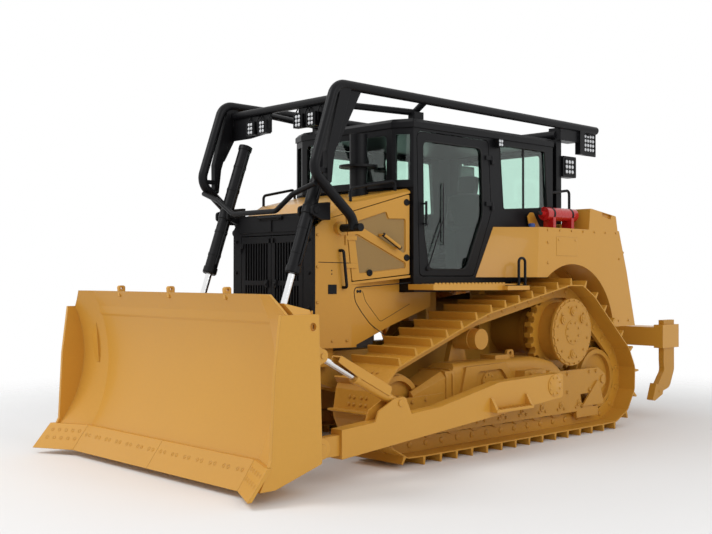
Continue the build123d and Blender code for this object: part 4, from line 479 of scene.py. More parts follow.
# -------- track
# circles that the pin line wraps, from the rear of the sprocket: x, z, radius
TRACK_CIRCLES = [
    (0, SPROCKET_Z, 0.404),
    (1.33, 1.003, 0.165),
    (2.315, PIN_Z + 0.335, 0.335),
    (-0.64, PIN_Z + 0.373, 0.373),
]
BUSHING_R, BUSHING_HALF = 0.029, 0.048
PIN_END = 0.088
SHOE_BOLT_RUNS = (0.062, 0.122)
SHOE_BOLT_ROWS = (-0.098, -0.042, 0.042, 0.098)


def tangent_angle(a, b):
    """Angle on both circles of the outer line that joins them."""
    run = math.hypot(b[0] - a[0], b[1] - a[1])
    heading = math.atan2(b[1] - a[1], b[0] - a[0])
    return heading + math.pi / 2 - math.asin((a[2] - b[2]) / run)


def on_circle(circle, angle):
    return (circle[0] + circle[2] * math.cos(angle), circle[1] + circle[2] * math.sin(angle))


def track_pins():
    """Pins at equal steps round the loop, as (x, z)."""
    runs = []
    for i, circle in enumerate(TRACK_CIRCLES):
        before, after = TRACK_CIRCLES[i - 1], TRACK_CIRCLES[(i + 1) % len(TRACK_CIRCLES)]
        start, end = tangent_angle(before, circle), tangent_angle(circle, after)
        line = on_circle(circle, end), on_circle(after, end)
        while end > start:
            end -= 2 * math.pi
        runs.append((circle, start, end, circle[2] * (start - end)))
        runs.append((None, *line, math.dist(*line)))
    total = sum(run[-1] for run in runs)
    count = round(total / PITCH)
    pins = []
    for i in range(count):
        left = (runs[0][-1] / 2 + i * total / count) % total
        for circle, start, end, length in runs:
            if left <= length:
                share = left / length
                if circle:
                    pins.append(on_circle(circle, start + (end - start) * share))
                else:
                    pins.append(tuple(p + (q - p) * share for p, q in zip(start, end)))
                break
            left -= length
    return pins


PINS = track_pins()


def make_track_fittings(side):
    """Bushings, pin ends and shoe bolts of one track."""
    name = SIDE_NAMES[side]
    bushings, bolts = bmesh.new(), bmesh.new()
    for pin, after in zip(PINS, PINS[1:] + PINS[:1]):
        along = Vector((after[0] - pin[0], 0, after[1] - pin[1])).normalized()
        outward = Vector((-along.z, 0, along.x))
        centre = at(pin[0], side * TRACK_Y, pin[1])
        add_turned(bushings, centre - Y * BUSHING_HALF, Y,
                   [(BUSHING_R, 0), (BUSHING_R, 2 * BUSHING_HALF)], 14)
        for way in SIDES:
            add_cap(bushings, centre + Y * way * PIN_END, Y * way, 0.026, 0.005, 0.019, 0.008,
                    14)
        for run in SHOE_BOLT_RUNS:
            for row in SHOE_BOLT_ROWS:
                spot = centre + along * run + Y * row + outward * (SHOE_FACE - BEDDING)
                add_bolt(bolts, spot, outward, 0.0125)
    piece("track_bushings_" + name, bushings, SHADED_SHOE_YELLOW)
    piece("track_shoe_bolts_" + name, bolts, SHADED_SHOE_YELLOW, smooth=False)


for side in SIDES:
    make_track_fittings(side)


# -------- undercarriage fasteners
# bolt circles of the final drive: radius, how many, distance out of the drum, bolt size
DRIVE_CIRCLES = [(0.31, 24, -0.008, 0.011), (0.255, 12, 0.0, 0.01), (0.095, 8, 0.005, 0.009)]
# plugs of the final drive: angle, radius of their circle, distance out of the drum
DRIVE_PLUGS = [(90, 0.205, 0.014), (142, 0.205, 0.014), (38, 0.205, 0.014),
               (270, 0.215, 0.01)]
ROLLERS = 8
FIRST_ROLLER_X, ROLLER_RUN = -0.22, 2.15
# bolts on the roller frame's face, (x, z): idler blocks and recoil casing
FRAME_BOLTS = [(2.22, 0.512), (2.22, 0.43), (2.05, 0.52), (2.05, 0.43), (-0.52, 0.6),
               (-0.4, 0.6), (-0.4, 0.42), (-0.02, 0.6), (-0.02, 0.42)]
TRUNNION_SEAT_Y = 1.21
TRUNNION_BOLTS = [(0.5, 0.46), (0.56, 0.64), (0.72, 0.66), (0.78, 0.46)]
# bolt circles of the recoil casing: middle, y, radius, how many, bolt size
CASING_CIRCLES = [((1.23, 0.615), TRACK_Y + 0.182, 0.066, 8, 0.008),
                  ((0.33, 0.585), TRACK_Y + 0.22, 0.052, 6, 0.009)]


def make_drive_bolts(side):
    """Bolt circles and plugs of the final drive's cover and of the sprocket ring."""
    bm = bmesh.new()
    for circle_r, count, out, r in DRIVE_CIRCLES:
        add_bolt_circle(bm, (0, SPROCKET_Z), DRUM_OUTER + out, side, circle_r, count, r, 0.5)
    for angle, circle_r, out in DRIVE_PLUGS:
        x, z = on_circle((0, SPROCKET_Z, circle_r), math.radians(angle))
        add_turned(bm, at(x, side * (DRUM_OUTER + out), z), Y * side,
                   [(0.024, 0), (0.024, 0.004), (0.017, 0.006), (0.012, 0.003)], 18)
    piece("final_drive_bolts_" + SIDE_NAMES[side], bm, SHADED_FRAME_YELLOW)


def make_frame_bolts(side):
    """Bolts of the roller shafts, idler blocks, trunnion seat and recoil casing."""
    bm = bmesh.new()
    for i in range(ROLLERS):
        x = FIRST_ROLLER_X + i * ROLLER_RUN / (ROLLERS - 1)
        add_side_bolts(bm, [(x - 0.052, 0.262), (x + 0.052, 0.262)], FRAME_FACE, side, 0.013)
        add_turned(bm, at(x, side * (TRACK_Y + 0.168), 0.3), Y * side,
                   [(0.016, 0), (0.016, 0.004), (0.009, 0.004), (0.009, 0.001)], 12)
    add_side_bolts(bm, FRAME_BOLTS, FRAME_FACE, side, 0.015)
    add_side_bolts(bm, TRUNNION_BOLTS, TRUNNION_SEAT_Y, side, 0.016)
    for middle, y, circle_r, count, r in CASING_CIRCLES:
        add_bolt_circle(bm, middle, y, side, circle_r, count, r)
    piece("roller_frame_bolts_" + SIDE_NAMES[side], bm, SHADED_FRAME_YELLOW)


for side in SIDES:
    make_drive_bolts(side)
    make_frame_bolts(side)


# -------- blade
# cutting edge stations: y, x of the upper front edge, x of the lower front edge
EDGE_STATIONS = [(1.19, 3.966, 4.117), (1.557, 4.137, 4.309)]
EDGE_TOP, EDGE_FOOT = 0.254, 0.05
# weld beads, the (x, z) of their ends: on the side plates, and beside the back ribs
PLATE_WELD_Y = 1.4985
PLATE_WELDS = [((3.622, 0.23), (3.622, 0.515)), ((3.684, 1.155), (3.684, 1.325)),
               ((3.624, 0.521), (3.764, 0.574))]
RIB_WELD = ((3.69, 1.149), (3.64, 0.521))
RIB_MIDDLES, RIB_HALF = (0.3, 0.96), 0.013


def edge_point(y, share):
    """Point on the front of the cutting edges and the outward normal there."""
    corner, tip = EDGE_STATIONS
    t = max(0.0, (abs(y) - corner[0]) / (tip[0] - corner[0]))
    top = corner[1] + (tip[1] - corner[1]) * t
    foot = corner[2] + (tip[2] - corner[2]) * t
    down = Vector((foot - top, 0, EDGE_FOOT - EDGE_TOP))
    lean = (tip[1] - corner[1]) / (tip[0] - corner[0]) if t > 0 else 0.0
    normal = down.cross(Vector((lean * math.copysign(1, y), 1, 0))).normalized()
    return at(top, y, EDGE_TOP) + down * share, -normal if normal.x < 0 else normal


def make_blade_bolts():
    """Pairs of bolts along the straight edges, and two rows on each end bit."""
    bm = bmesh.new()
    for side in SIDES:
        places = [(side * (0.085 + i * 0.168) + shift, 0.36)
                  for i in range(7) for shift in (-0.028, 0.028)]
        places += [(side * (1.235 + i * 0.064), row) for row in (0.25, 0.56) for i in range(5)]
        for y, share in places:
            add_plow_bolt(bm, *edge_point(y, share))
    piece("blade_edge_bolts", bm, BLADE_YELLOW, "blade_body")


def make_blade_welds():
    """Weld beads where the side plates and the ribs meet the blade's back beams."""
    bm = bmesh.new()
    for side in SIDES:
        beads = [(PLATE_WELD_Y, ends, 0.006) for ends in PLATE_WELDS]
        beads += [(y + way * RIB_HALF, RIB_WELD, 0.005) for y in RIB_MIDDLES for way in SIDES]
        for y, ends, r in beads:
            add_pipe(bm, [at(x, side * y, z) for x, z in ends], r)
    piece("blade_welds", bm, BLADE_YELLOW, "blade_body")


make_blade_bolts()
make_blade_welds()


# -------- push arms
ARM_SOCKET = (0.64, 0.56)
ARM_FRONT_PIN = (2.685, 0.571)
TREAD_FIRST_X, TREAD_STEP = 1.081, 0.046


def make_arm_fittings(side):
    """Cap over the socket, cap of the front pin and the ridges of the step's tread."""
    name = SIDE_NAMES[side]
    bm = bmesh.new()
    x, z = ARM_SOCKET
    add_cap(bm, at(x, side * ARM_OUTER, z), Y * side, 0.098, 0.006, 0.088, 0.01, 36)
    add_bolt_circle(bm, ARM_SOCKET, ARM_OUTER + 0.009, side, 0.078, 8, 0.01, 0.5)
    x, z = ARM_FRONT_PIN
    add_cap(bm, at(x, side * (ARM_MIDDLE + 0.0595), z), Y * side, 0.03, 0.006, 0.024, 0.01)
    piece("push_arm_caps_" + name, bm, YELLOW, "arm_" + name)
    tread = bmesh.new()
    for i in range(11):
        x = TREAD_FIRST_X + i * TREAD_STEP
        add_block(tread, at(x, side * 1.432, 0.4236), at(x + 0.012, side * 1.498, 0.431), 0.001)
    piece("push_arm_treads_" + name, tread, YELLOW, "arm_" + name)


for side in SIDES:
    make_arm_fittings(side)


# -------- engine enclosure
# outlines and places on the enclosure's side, (x, z)
UPPER_SCREEN = [(2.447, 2.03), (2.134, 2.133), (2.113, 2.073), (1.94, 2.075), (1.94, 1.773)]
LOWER_SCREEN = [(2.44, 1.937), (1.94, 1.684), (1.94, 1.645), (2.394, 1.598)]
DOOR_LATCHES = [(1.925, 2.225), (1.925, 1.735), (2.3, 1.6)]
DOOR_GRIP = [(2.205, 1.935), (2.028, 1.817)]
COVER_PLATE = [(2.7, 1.42), (2.7, 1.5), (2.62, 1.5), (2.62, 1.42)]
PANEL_BOLTS = [(2.8, z) for z in (1.05, 1.35, 1.65, 1.92)] + [(2.52, 1.02), (2.66, 1.02)]
LOWER_DOOR_SEAM = [(1.7, 1.527), (2.429, 1.474), (2.448, 1.44), (2.433, 1.353),
                   (2.357, 1.258), (2.257, 1.158), (2.213, 1.129), (2.14, 1.049)]
LOWER_DOOR_CREASE = [(2.345, 1.44), (2.31, 1.352), (2.128, 1.169), (1.754, 1.319)]
FRONT_PANEL_SEAM = [(2.79, 1.69), (2.5, 1.684)]
SCREEN_DEPTH = 0.0145
PANEL_CLEAR = 1.3          # half width clear of everything on the enclosure's side


def panel_axis(side):
    """Axis of the round fittings on the tapering side."""
    return Vector((0.22, side, 0))


def on_panel(x, z, out, side):
    """Point on the side of the enclosure, a little way outside it."""
    half = GUARD_HALF + ENCLOSURE_TAPER * (ENCLOSURE_FRONT - x)
    return at(x, side * (half + out), z)


def panel_outline(corners, out, side):
    """Outline on the enclosure's side whose plate grows outward."""
    points = [on_panel(x, z, out, side) for x, z in corners]
    return points if side < 0 else points[::-1]


def on_side_panel(x, z, out, side):
    """Point just outside the fixed side panel, found on its own surface."""
    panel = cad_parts["side_panels"]
    into = panel.matrix_world.inverted()
    start = into @ at(x, side * PANEL_CLEAR, z)
    hit, place = panel.ray_cast(start, (into @ at(x, 0, z) - start).normalized())[:2]
    if not hit:
        return on_panel(x, z, out, side)
    return panel.matrix_world @ place + Y * side * out


def make_door_fittings(side):
    """Screens, latches and the grip of an engine door."""
    name = SIDE_NAMES[side]
    body = "engine_door_" + name[0]
    screens, latches, grips = bmesh.new(), bmesh.new(), bmesh.new()
    for outline in (UPPER_SCREEN, LOWER_SCREEN):
        add_plate(screens, panel_outline(outline, -SCREEN_DEPTH, side), 0.002)
    piece("engine_door_screens_" + name, screens, SCREEN, body, False)
    for x, z in DOOR_LATCHES:
        add_turned(latches, on_panel(x, z, -0.001, side), panel_axis(side),
                   [(0.03, 0), (0.03, 0.005), (0.024, 0.009), (0.01, 0.009),
                    (0.01, 0.004)])
    piece("engine_door_latches_" + name, latches, BLACK, body)
    add_pipe(grips, [on_panel(x, z, 0.05, side) for x, z in DOOR_GRIP], 0.0185, 14)
    piece("engine_door_grips_" + name, grips, RUBBER, body)


def make_panel_fittings(side):
    """Long handle and small plate on the fixed front panel, and its bolts."""
    name = SIDE_NAMES[side]
    handle, plate, bolts = bmesh.new(), bmesh.new(), bmesh.new()
    ends = [on_panel(x, z, out, side) for x, z, out in
            ((2.592, 1.79, 0.0), (2.592, 1.79, 0.052), (2.56, 1.475, 0.052),
             (2.56, 1.475, 0.0))]
    add_pipe(handle, rounded_run(ends, 0.03), 0.013, 12)
    piece("panel_handle_" + name, handle, BLACK)
    add_plate(plate, panel_outline(COVER_PLATE, 0.0, side), 0.004)
    piece("panel_cover_plate_" + name, plate, BLACK, smooth=False)
    for x, z in PANEL_BOLTS:
        add_bolt(bolts, on_panel(x, z, -BEDDING, side), panel_axis(side), 0.011)
    piece("panel_bolts_" + name, bolts, YELLOW)


def make_panel_seams(side):
    """Rubber strips in the seams of the side panels, with the lower door's latch."""
    bm = bmesh.new()
    axis = panel_axis(side)
    for outline, r in ((LOWER_DOOR_SEAM, 0.004), (LOWER_DOOR_CREASE, 0.0022),
                       (FRONT_PANEL_SEAM, 0.003)):
        add_pipe(bm, rounded_run([on_side_panel(x, z, 0.0, side) for x, z in outline], 0.03), r)
    for x in (2.405, 2.375):
        add_cap(bm, on_side_panel(x, 1.44, -0.001, side), axis, 0.013, 0.005, 0.009, 0.008, 16)
    for z in (1.59, 1.62):
        add_cap(bm, on_panel(2.665, z, -0.001, side), axis, 0.006, 0.003, 0.004, 0.004, 12)
    piece("panel_seams_" + SIDE_NAMES[side], bm, RUBBER)


for side in SIDES:
    make_door_fittings(side)
    make_panel_fittings(side)
    make_panel_seams(side)


# -------- radiator guard
HINGE_X = GUARD_FRONT_X + 0.01
LIFT_PIN_HALF = 0.0948
# bolts on one half of the guard's front, (y, z)
GUARD_BOLTS = [(0.505, z) for z in (1.02, 1.3, 1.6, 1.88)] + [(0.3, 1.02), (0.1, 1.02)]
YOKE_BLOCK_X = 2.794
YOKE_BLOCK_BOLTS = [(y, z) for y in (0.515, 0.645) for z in (2.062, 2.168)]
GRILLE_LATCH_Y = 0.06
CORE_FACE, CORE_FOOT, CORE_RUN = 2.7395, 1.0, 0.93
FINS, TUBES = 56, 12

# lift cylinders: their upper and lower pins (x, z), and the barrel
YOKE = (2.914, 2.12)
LIFT_EYE = (3.44, 0.62)
LIFT_Y = 0.58
LIFT_BARREL_R = 0.057
GLAND_REACH, GLAND_BOLT_CIRCLE = 0.69, 0.046
# distances along the barrel at which an oil line leaves it, stands off, and returns
OIL_LINE_RUNS = [(0.08, 0.095, 0.47, 0.488), (-0.09, -0.105, -0.6, -0.618)]
OIL_LINE_CLAMPS = (-0.48, -0.25, 0.16, 0.38)


def make_guard_fittings():
    """Strap hinge, pin caps and bolts on the guard, and the latches of the grille doors."""
    bm = bmesh.new()
    add_block(bm, at(HINGE_X - 0.001, -0.16, 2.06), at(HINGE_X + 0.012, 0.16, 2.082), 0.003)
    add_block(bm, at(HINGE_X - 0.001, -0.022, 1.958), at(HINGE_X + 0.01, 0.022, 2.062), 0.003)
    add_pipe(bm, [at(HINGE_X + 0.01, y, 2.084) for y in (-0.17, 0.17)], 0.012, 12)
    for y in (-0.13, 0.13):
        add_bolt(bm, at(HINGE_X + 0.012, y, 2.07), X, 0.009)
    for side in SIDES:
        for y, z in GUARD_BOLTS:
            add_bolt(bm, at(GUARD_FRONT_X, side * y, z), X, 0.013)
        for y, z in YOKE_BLOCK_BOLTS:
            add_bolt(bm, at(YOKE_BLOCK_X, side * y, z), X, 0.01)
        for way in SIDES:
            add_cap(bm, at(YOKE[0], side * LIFT_Y + way * LIFT_PIN_HALF, YOKE[1]), Y * way,
                    0.032, 0.006, 0.026, 0.01, 24)
    piece("guard_fittings", bm, GUARD_BLACK)
    for side in SIDES:
        name = SIDE_NAMES[side]
        y = side * GRILLE_LATCH_Y
        latch = bmesh.new()
        add_block(latch, at(GUARD_FRONT_X - 0.02, y - 0.022, 1.47),
                  at(GUARD_FRONT_X + 0.014, y + 0.022, 1.54), 0.004)
        add_cap(latch, at(GUARD_FRONT_X + 0.013, y, 1.505), X, 0.015, 0.006, 0.01, 0.009, 18)
        piece("grille_door_latch_" + name, latch, GUARD_BLACK,
              "grille_door_" + name[0])


def make_radiator_core():
    """Fins and tubes of the radiator behind the grille doors."""
    bm = bmesh.new()
    for i in range(FINS):
        z = CORE_FOOT + i * CORE_RUN / FINS
        add_block(bm, at(CORE_FACE, -0.385, z), at(CORE_FACE + 0.006, 0.385, z + 0.006))
    for i in range(TUBES):
        y = -0.36 + i * 0.72 / (TUBES - 1)
        add_block(bm, at(CORE_FACE, y - 0.006, 0.985), at(CORE_FACE + 0.008, y + 0.006, 1.945))
    piece("radiator_fins", bm, RUBBER, smooth=False)


def make_lift_lines(side):
    """Steel oil lines, their clamps and the gland bolts of one lift cylinder."""
    name = SIDE_NAMES[side]
    way = Vector((LIFT_EYE[0] - YOKE[0], 0, LIFT_EYE[1] - YOKE[1])).normalized()
    base = at(YOKE[0], side * LIFT_Y, YOKE[1])
    sunk, clear = LIFT_BARREL_R - 0.004, LIFT_BARREL_R + 0.013
    bm = bmesh.new()
    for reaches in OIL_LINE_RUNS:
        run = [base + way * reach + Y * side * out
               for reach, out in zip(reaches, (sunk, clear, clear, sunk))]
        add_pipe(bm, rounded_run(run, 0.02), 0.009, 10)
    for reach in OIL_LINE_CLAMPS:
        add_band(bm, base + way * (reach - 0.011), way, LIFT_BARREL_R - 0.001,
                 LIFT_BARREL_R + 0.003, 0.022)
    one, two = axes_along(way)
    for c, s in circle_steps(8, GLAND_BOLT_CIRCLE, 0.5):
        add_bolt(bm, base + one * c + two * s - way * GLAND_REACH, -way, 0.006)
    piece("lift_oil_lines_" + name, bm, BLACK, "lift_cylinder_" + name)


make_guard_fittings()
make_radiator_core()
for side in SIDES:
    make_lift_lines(side)


# -------- lamps
# lamp faces on the left: x, y, z of the face, its normal, lens columns, rows, pitch, radius
LAMP_FACES = [
    (2.7603, 0.25, 2.918, (1, 0), 2, 3, 0.036, 0.0145),
    (2.7603, 0.42, 2.918, (1, 0), 2, 3, 0.036, 0.0145),
    (0.72, 0.8603, 2.85, (0, 1), 2, 2, 0.034, 0.0145),
    (-0.6803, 0.7, 2.72, (-1, 0), 2, 4, 0.046, 0.019),
    (-0.565, 0.7553, 2.72, (0, 1), 3, 3, 0.052, 0.019),
    (-0.93, 0.7543, 3.0, (0, 1), 4, 4, 0.048, 0.017),
]
FRONT_LAMPS_Y, LAMP_BRACKET_SHIFT = (0.25, 0.42), 0.063
LAMP_BRACKET = [(2.706, 3.03), (2.73, 2.99), (2.73, 2.9)]
RIM_CORNERS = ((-1, -1), (1, -1), (1, 1), (-1, 1), (-1, -1))
BEACON = (-0.2, -0.6, 2.975)


def make_lamps():
    """Round lenses in a grid on each lamp's face, a rim round them, and the brackets."""
    lenses, frames = bmesh.new(), bmesh.new()
    for side in SIDES:
        for x, y, z, normal, columns, rows, pitch, r in LAMP_FACES:
            face = Vector((normal[0], normal[1] * side, 0))
            across = Vector((-face.y, face.x, 0))
            centre = at(x, side * y, z)
            for i in range(columns):
                for k in range(rows):
                    spot = (centre + across * (i - (columns - 1) / 2) * pitch
                            + Z * (k - (rows - 1) / 2) * pitch)
                    add_turned(lenses, spot, face, [(r, -0.001), (r, 0.002), (r * 0.8, 0.005),
                                                    (r * 0.4, 0.0065)], 14)
            half_w, half_h = columns * pitch / 2 + 0.004, rows * pitch / 2 + 0.004
            rim = [centre + across * (p * half_w) + Z * (q * half_h) + face * 0.003
                   for p, q in RIM_CORNERS]
            for a, b in zip(rim, rim[1:]):
                add_pipe(frames, [a, b], 0.004)
    for y in [side * y + way * LAMP_BRACKET_SHIFT
              for side in SIDES for y in FRONT_LAMPS_Y for way in SIDES]:
        add_pipe(frames, rounded_run([at(x, y, z) for x, z in LAMP_BRACKET], 0.02), 0.006)
    piece("lamp_lenses", lenses, LENS)
    piece("lamp_rims_and_brackets", frames, BLACK)


def make_beacon():
    """Amber beacon on the right of the roof, on its rubber foot."""
    foot, dome = bmesh.new(), bmesh.new()
    base = at(*BEACON)
    add_turned(foot, base, Z, [(0.062, -0.001), (0.062, 0.014), (0.052, 0.022)], 28)
    add_turned(dome, base + Z * 0.021, Z, [(0.048, 0), (0.046, 0.07), (0.04, 0.092),
                                           (0.026, 0.106), (0.008, 0.11)], 28)
    piece("beacon_foot", foot, RUBBER)
    piece("beacon_dome", dome, AMBER)


make_lamps()
make_beacon()


# -------- cab
DOOR_GLASS = [(1.762, 2.785), (0.94, 2.785), (0.915, 2.15), (1.165, 1.632), (1.68, 1.632),
              (1.75, 2.0)]
SIDE_WINDOW = [(0.665, 2.84), (-0.07, 2.84), (-0.11, 2.262), (0.61, 2.216)]
SEAL_Y = CAB_HALF - 0.004
WINDOW_BAR_Y = 0.78
WIPER_PIVOT, WIPER_ARM_END = (1.7, 1.64), (1.48, 2.1)
WIPER_BLADE_Y = 0.7955


def add_seal(bm, outline, side, radius):
    """Rubber seal round a window, closed in the middle of an edge."""
    points = [at(x, side * SEAL_Y, z) for x, z in outline]
    middle = (points[-1] + points[0]) / 2
    add_pipe(bm, rounded_run([middle, *points, middle], radius), 0.008)


def make_cab_trim(side):
    """Window seals, the bar of the sliding window and the door's wiper."""
    name = SIDE_NAMES[side]
    door = "cab_door_" + name[0]
    seal, window, wiper = bmesh.new(), bmesh.new(), bmesh.new()
    add_seal(seal, DOOR_GLASS, side, 0.07)
    piece("door_glass_seal_" + name, seal, RUBBER, door)
    add_seal(window, SIDE_WINDOW, side, 0.035)
    y = side * WINDOW_BAR_Y
    add_block(window, at(0.255, y - 0.006, 2.235), at(0.285, y + 0.006, 2.835), 0.003)
    piece("side_window_seal_" + name, window, RUBBER)
    y = side * CAB_HALF
    x, z = WIPER_PIVOT
    add_cap(wiper, at(x, y - side * 0.002, z), Y * side, 0.022, 0.012, 0.014, 0.018, 18)
    x_end, z_end = WIPER_ARM_END
    add_pipe(wiper, [at(x, y + side * 0.006, z), at(x_end, y, z_end)], 0.006)
    y = side * WIPER_BLADE_Y
    add_block(wiper, at(1.474, y - 0.004, 1.85), at(1.486, y + 0.004, 2.42), 0.002)
    piece("door_wiper_" + name, wiper, BLACK, door)


for side in SIDES:
    make_cab_trim(side)

# cushions: name, low corner, high corner, crown
CUSHIONS = [
    ("seat_cushion", (0.345, -0.25, 1.785), (0.925, 0.25, 1.9), 0.1),
    ("seat_bolster_left", (0.38, 0.185, 1.8), (0.9, 0.252, 1.903), 0.12),
    ("seat_bolster_right", (0.38, -0.252, 1.8), (0.9, -0.185, 1.903), 0.12),
]
# leaning cushions, with their corners from their own middle, and that middle's place
LEANING_CUSHIONS = [
    ("seat_back", (-0.06, -0.23, -0.31), (0.06, 0.23, 0.31), 0.12, (0.265, 0, 2.135)),
    ("seat_headrest", (-0.045, -0.125, -0.1), (0.045, 0.125, 0.1), 0.14, (0.192, 0, 2.525)),
]
BACK_LEAN = math.radians(-9)
BELLOWS_FOOT, BELLOWS_FOLD, BELLOWS_FOLDS = 1.505, 0.035, 7
LEVER_X, LEVER_Y, LEVER_LEAN = 0.88, 0.375, Vector((0.17, 0, 1))


def cushion(name, low, high, crown):
    """Padded block: crowned faces and drawn-in sides."""
    bm = bmesh.new()
    bmesh.ops.create_cube(bm, size=1.0)
    bmesh.ops.subdivide_edges(bm, edges=bm.edges, cuts=9, use_grid_fill=True)
    middle, size = (low + high) / 2, high - low
    for v in bm.verts:
        p = v.co * 2
        swell = []
        for i in range(3):
            others = [abs(p[k]) for k in range(3) if k != i]
            bulge = (1 - others[0] ** 3) * (1 - others[1] ** 3)
            swell.append(p[i] * (1 - crown + crown * bulge))
        v.co = middle + Vector((swell[i] * size[i] / 2 for i in range(3)))
    obj = piece(name, bm, CLOTH)
    smooth = obj.modifiers.new("soft", "SUBSURF")
    smooth.levels = smooth.render_levels = 1
    return obj


def make_seat():
    """Seat, back and headrest on a moulded shell and a bellows pedestal."""
    for name, low, high, crown in CUSHIONS:
        cushion(name, at(*low), at(*high), crown)
    for name, low, high, crown, place in LEANING_CUSHIONS:
        obj = cushion(name, Vector(low), Vector(high), crown)
        obj.data.transform(Matrix.Translation(at(*place)) @ Matrix.Rotation(BACK_LEAN, 4, "Y"))
    shell = bmesh.new()
    for i in range(BELLOWS_FOLDS):
        r = 0.155 if i % 2 else 0.135
        add_turned(shell, at(0.63, 0, BELLOWS_FOOT + i * BELLOWS_FOLD), Z,
                   [(r, 0), (r + 0.012, 0.017), (r, BELLOWS_FOLD)], 28)
    add_block(shell, at(0.34, -0.225, 1.752), at(0.9, 0.225, 1.79), 0.012)
    add_plate(shell, [at(0.155, -0.19, 2.4), at(0.155, 0.19, 2.4), at(0.262, 0.2, 1.8),
                      at(0.262, -0.2, 1.8)], 0.02)
    seat = piece("seat_shell", shell, PLASTIC)
    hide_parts("operator_seat")


def make_controls():
    """Levers' boots and buttons, and the display on its post beside the dash."""
    bm = bmesh.new()
    for y in (LEVER_Y, -LEVER_Y):
        add_turned(bm, at(LEVER_X, y, 2.06), LEVER_LEAN,
                   [(0.048, 0), (0.04, 0.012), (0.042, 0.022), (0.032, 0.034),
                    (0.034, 0.044), (0.025, 0.06)], 20)
        for k in (-1, 0, 1):
            add_cap(bm, at(LEVER_X + 0.013 + 0.016 * k, y, 2.209), LEVER_LEAN, 0.007, 0.006,
                    0.005, 0.008, 10)
    add_block(bm, at(1.64, -0.3, 2.262), at(1.668, -0.08, 2.4), 0.008)
    add_pipe(bm, [at(1.656, -0.19, 2.2), at(1.656, -0.19, 2.27)], 0.014, 12)
    piece("control_grips_and_display", bm, RUBBER)


make_seat()
make_controls()


# -------- fenders, tank and walkways
FENDER_TOP_BOLTS = [(x, 2.02) for x in (-0.9, -0.7, -0.5, -0.3, -0.1, 0.1, 0.3)]
FENDER_SIDE_BOLTS = [(-1.14, 1.1), (-0.95, 1.1), (-0.96, 1.75), (0.3, 1.7), (0.3, 1.9)]
EXTINGUISHER = (0.95, 2.19)    # its axis, (y, z)
WASHER_CAP = (0.33, 0.93, 2.0445)
TANK_CAP = (-0.64, 0.42, 2.142)


def make_fender_fittings(side):
    """Bolts and cover of the fender, and the rings, studs and teeth one walks on."""
    name = SIDE_NAMES[side]
    bolts, cover, rings, studs, step = (bmesh.new() for _ in range(5))
    add_side_bolts(bolts, FENDER_TOP_BOLTS, FENDER_HALF - BEDDING, side, 0.01)
    add_side_bolts(bolts, FENDER_SIDE_BOLTS, FENDER_HALF - BEDDING, side, 0.011)
    piece("fender_bolts_" + name, bolts, YELLOW)
    y = side * FENDER_HALF
    add_block(cover, at(-0.2, y - 0.002, 1.77), at(0.16, y + 0.002, 1.96), 0.0015)
    for x in (-0.16, 0.12):
        add_cap(cover, at(x, y + side * 0.0015, 1.93), Y * side, 0.012, 0.004, 0.007, 0.006, 16)
    piece("fender_inspection_cover_" + name, cover, YELLOW)
    for i in range(3):
        for y in (0.93, 1.01):
            add_turned(rings, at(1.76 + i * 0.06, side * y, WALKWAY_TOP), Z,
                       [(0.02, 0), (0.02, 0.003), (0.014, 0.003), (0.014, 0.001)], 18)
    piece("walkway_drain_rings_" + name, rings, YELLOW)
    for i in range(16):
        for k in range(3):
            x, y = 0.955 + i * 0.058 + 0.015 * (k % 2), 0.86 + 0.075 * k
            add_turned(studs, at(x, side * y, WALKWAY_TOP), Z, [(0.011, 0), (0.007, 0.004)], 8)
    piece("walkway_grip_studs_" + name, studs, YELLOW)
    for i in range(15):
        x = 0.685 + i * 0.0205
        add_block(step, at(x, side * 1.11, 1.4815), at(x + 0.008, side * 1.152, 1.487))
    piece("toe_step_teeth_" + name, step, BLACK, smooth=False)


def make_extinguisher_fittings():
    """Straps and valve head of the extinguisher, and the blue cap beside it."""
    y, z = EXTINGUISHER
    straps, valve, cap = bmesh.new(), bmesh.new(), bmesh.new()
    for x in (-0.25, 0.06):
        add_turned(straps, at(x - 0.014, y, z), X, [(0.0685, 0), (0.0685, 0.028)], 36)
    piece("extinguisher_straps", straps, BLACK)
    add_cap(valve, at(0.2, y, z), X, 0.018, 0.03, 0.012, 0.045, 16)
    add_block(valve, at(0.206, y - 0.008, z + 0.01), at(0.232, y + 0.008, z + 0.062), 0.003)
    piece("extinguisher_valve", valve, RUBBER)
    add_turned(cap, at(*WASHER_CAP), Z, [(0.034, 0), (0.034, 0.03), (0.028, 0.042),
                                         (0.012, 0.046)])
    piece("washer_cap", cap, BLUE)


def make_tank_fittings():
    """Filler cap with its lugs and the tank's bolts."""
    bm = bmesh.new()
    x, y, z = TANK_CAP
    add_turned(bm, at(x, y, z), Z, [(0.07, -0.002), (0.07, 0.014), (0.06, 0.022)], 32)
    add_block(bm, at(x - 0.05, y - 0.01, z + 0.02), at(x + 0.05, y + 0.01, z + 0.036), 0.003)
    for side in SIDES:
        for x in (-0.45, -0.7, -0.95):
            add_bolt(bm, at(x, side * 0.7, 2.1095), Z, 0.012)
    piece("tank_cap_and_bolts", bm, BLACK)


for side in SIDES:
    make_fender_fittings(side)
make_extinguisher_fittings()
make_tank_fittings()


# -------- ripper
LINK_Y, LINK_PIN_HALF = 0.31, 0.0555
BRACKET_PINS = [(-0.93, 0.7), (-0.93, 1.01)]
BEAM_PINS = [(-1.715, 0.79), (-1.715, 1.1)]
SHANKS_Y, SHANK_PIN_HALF = (-1.085, 0.0, 1.085), 0.0378


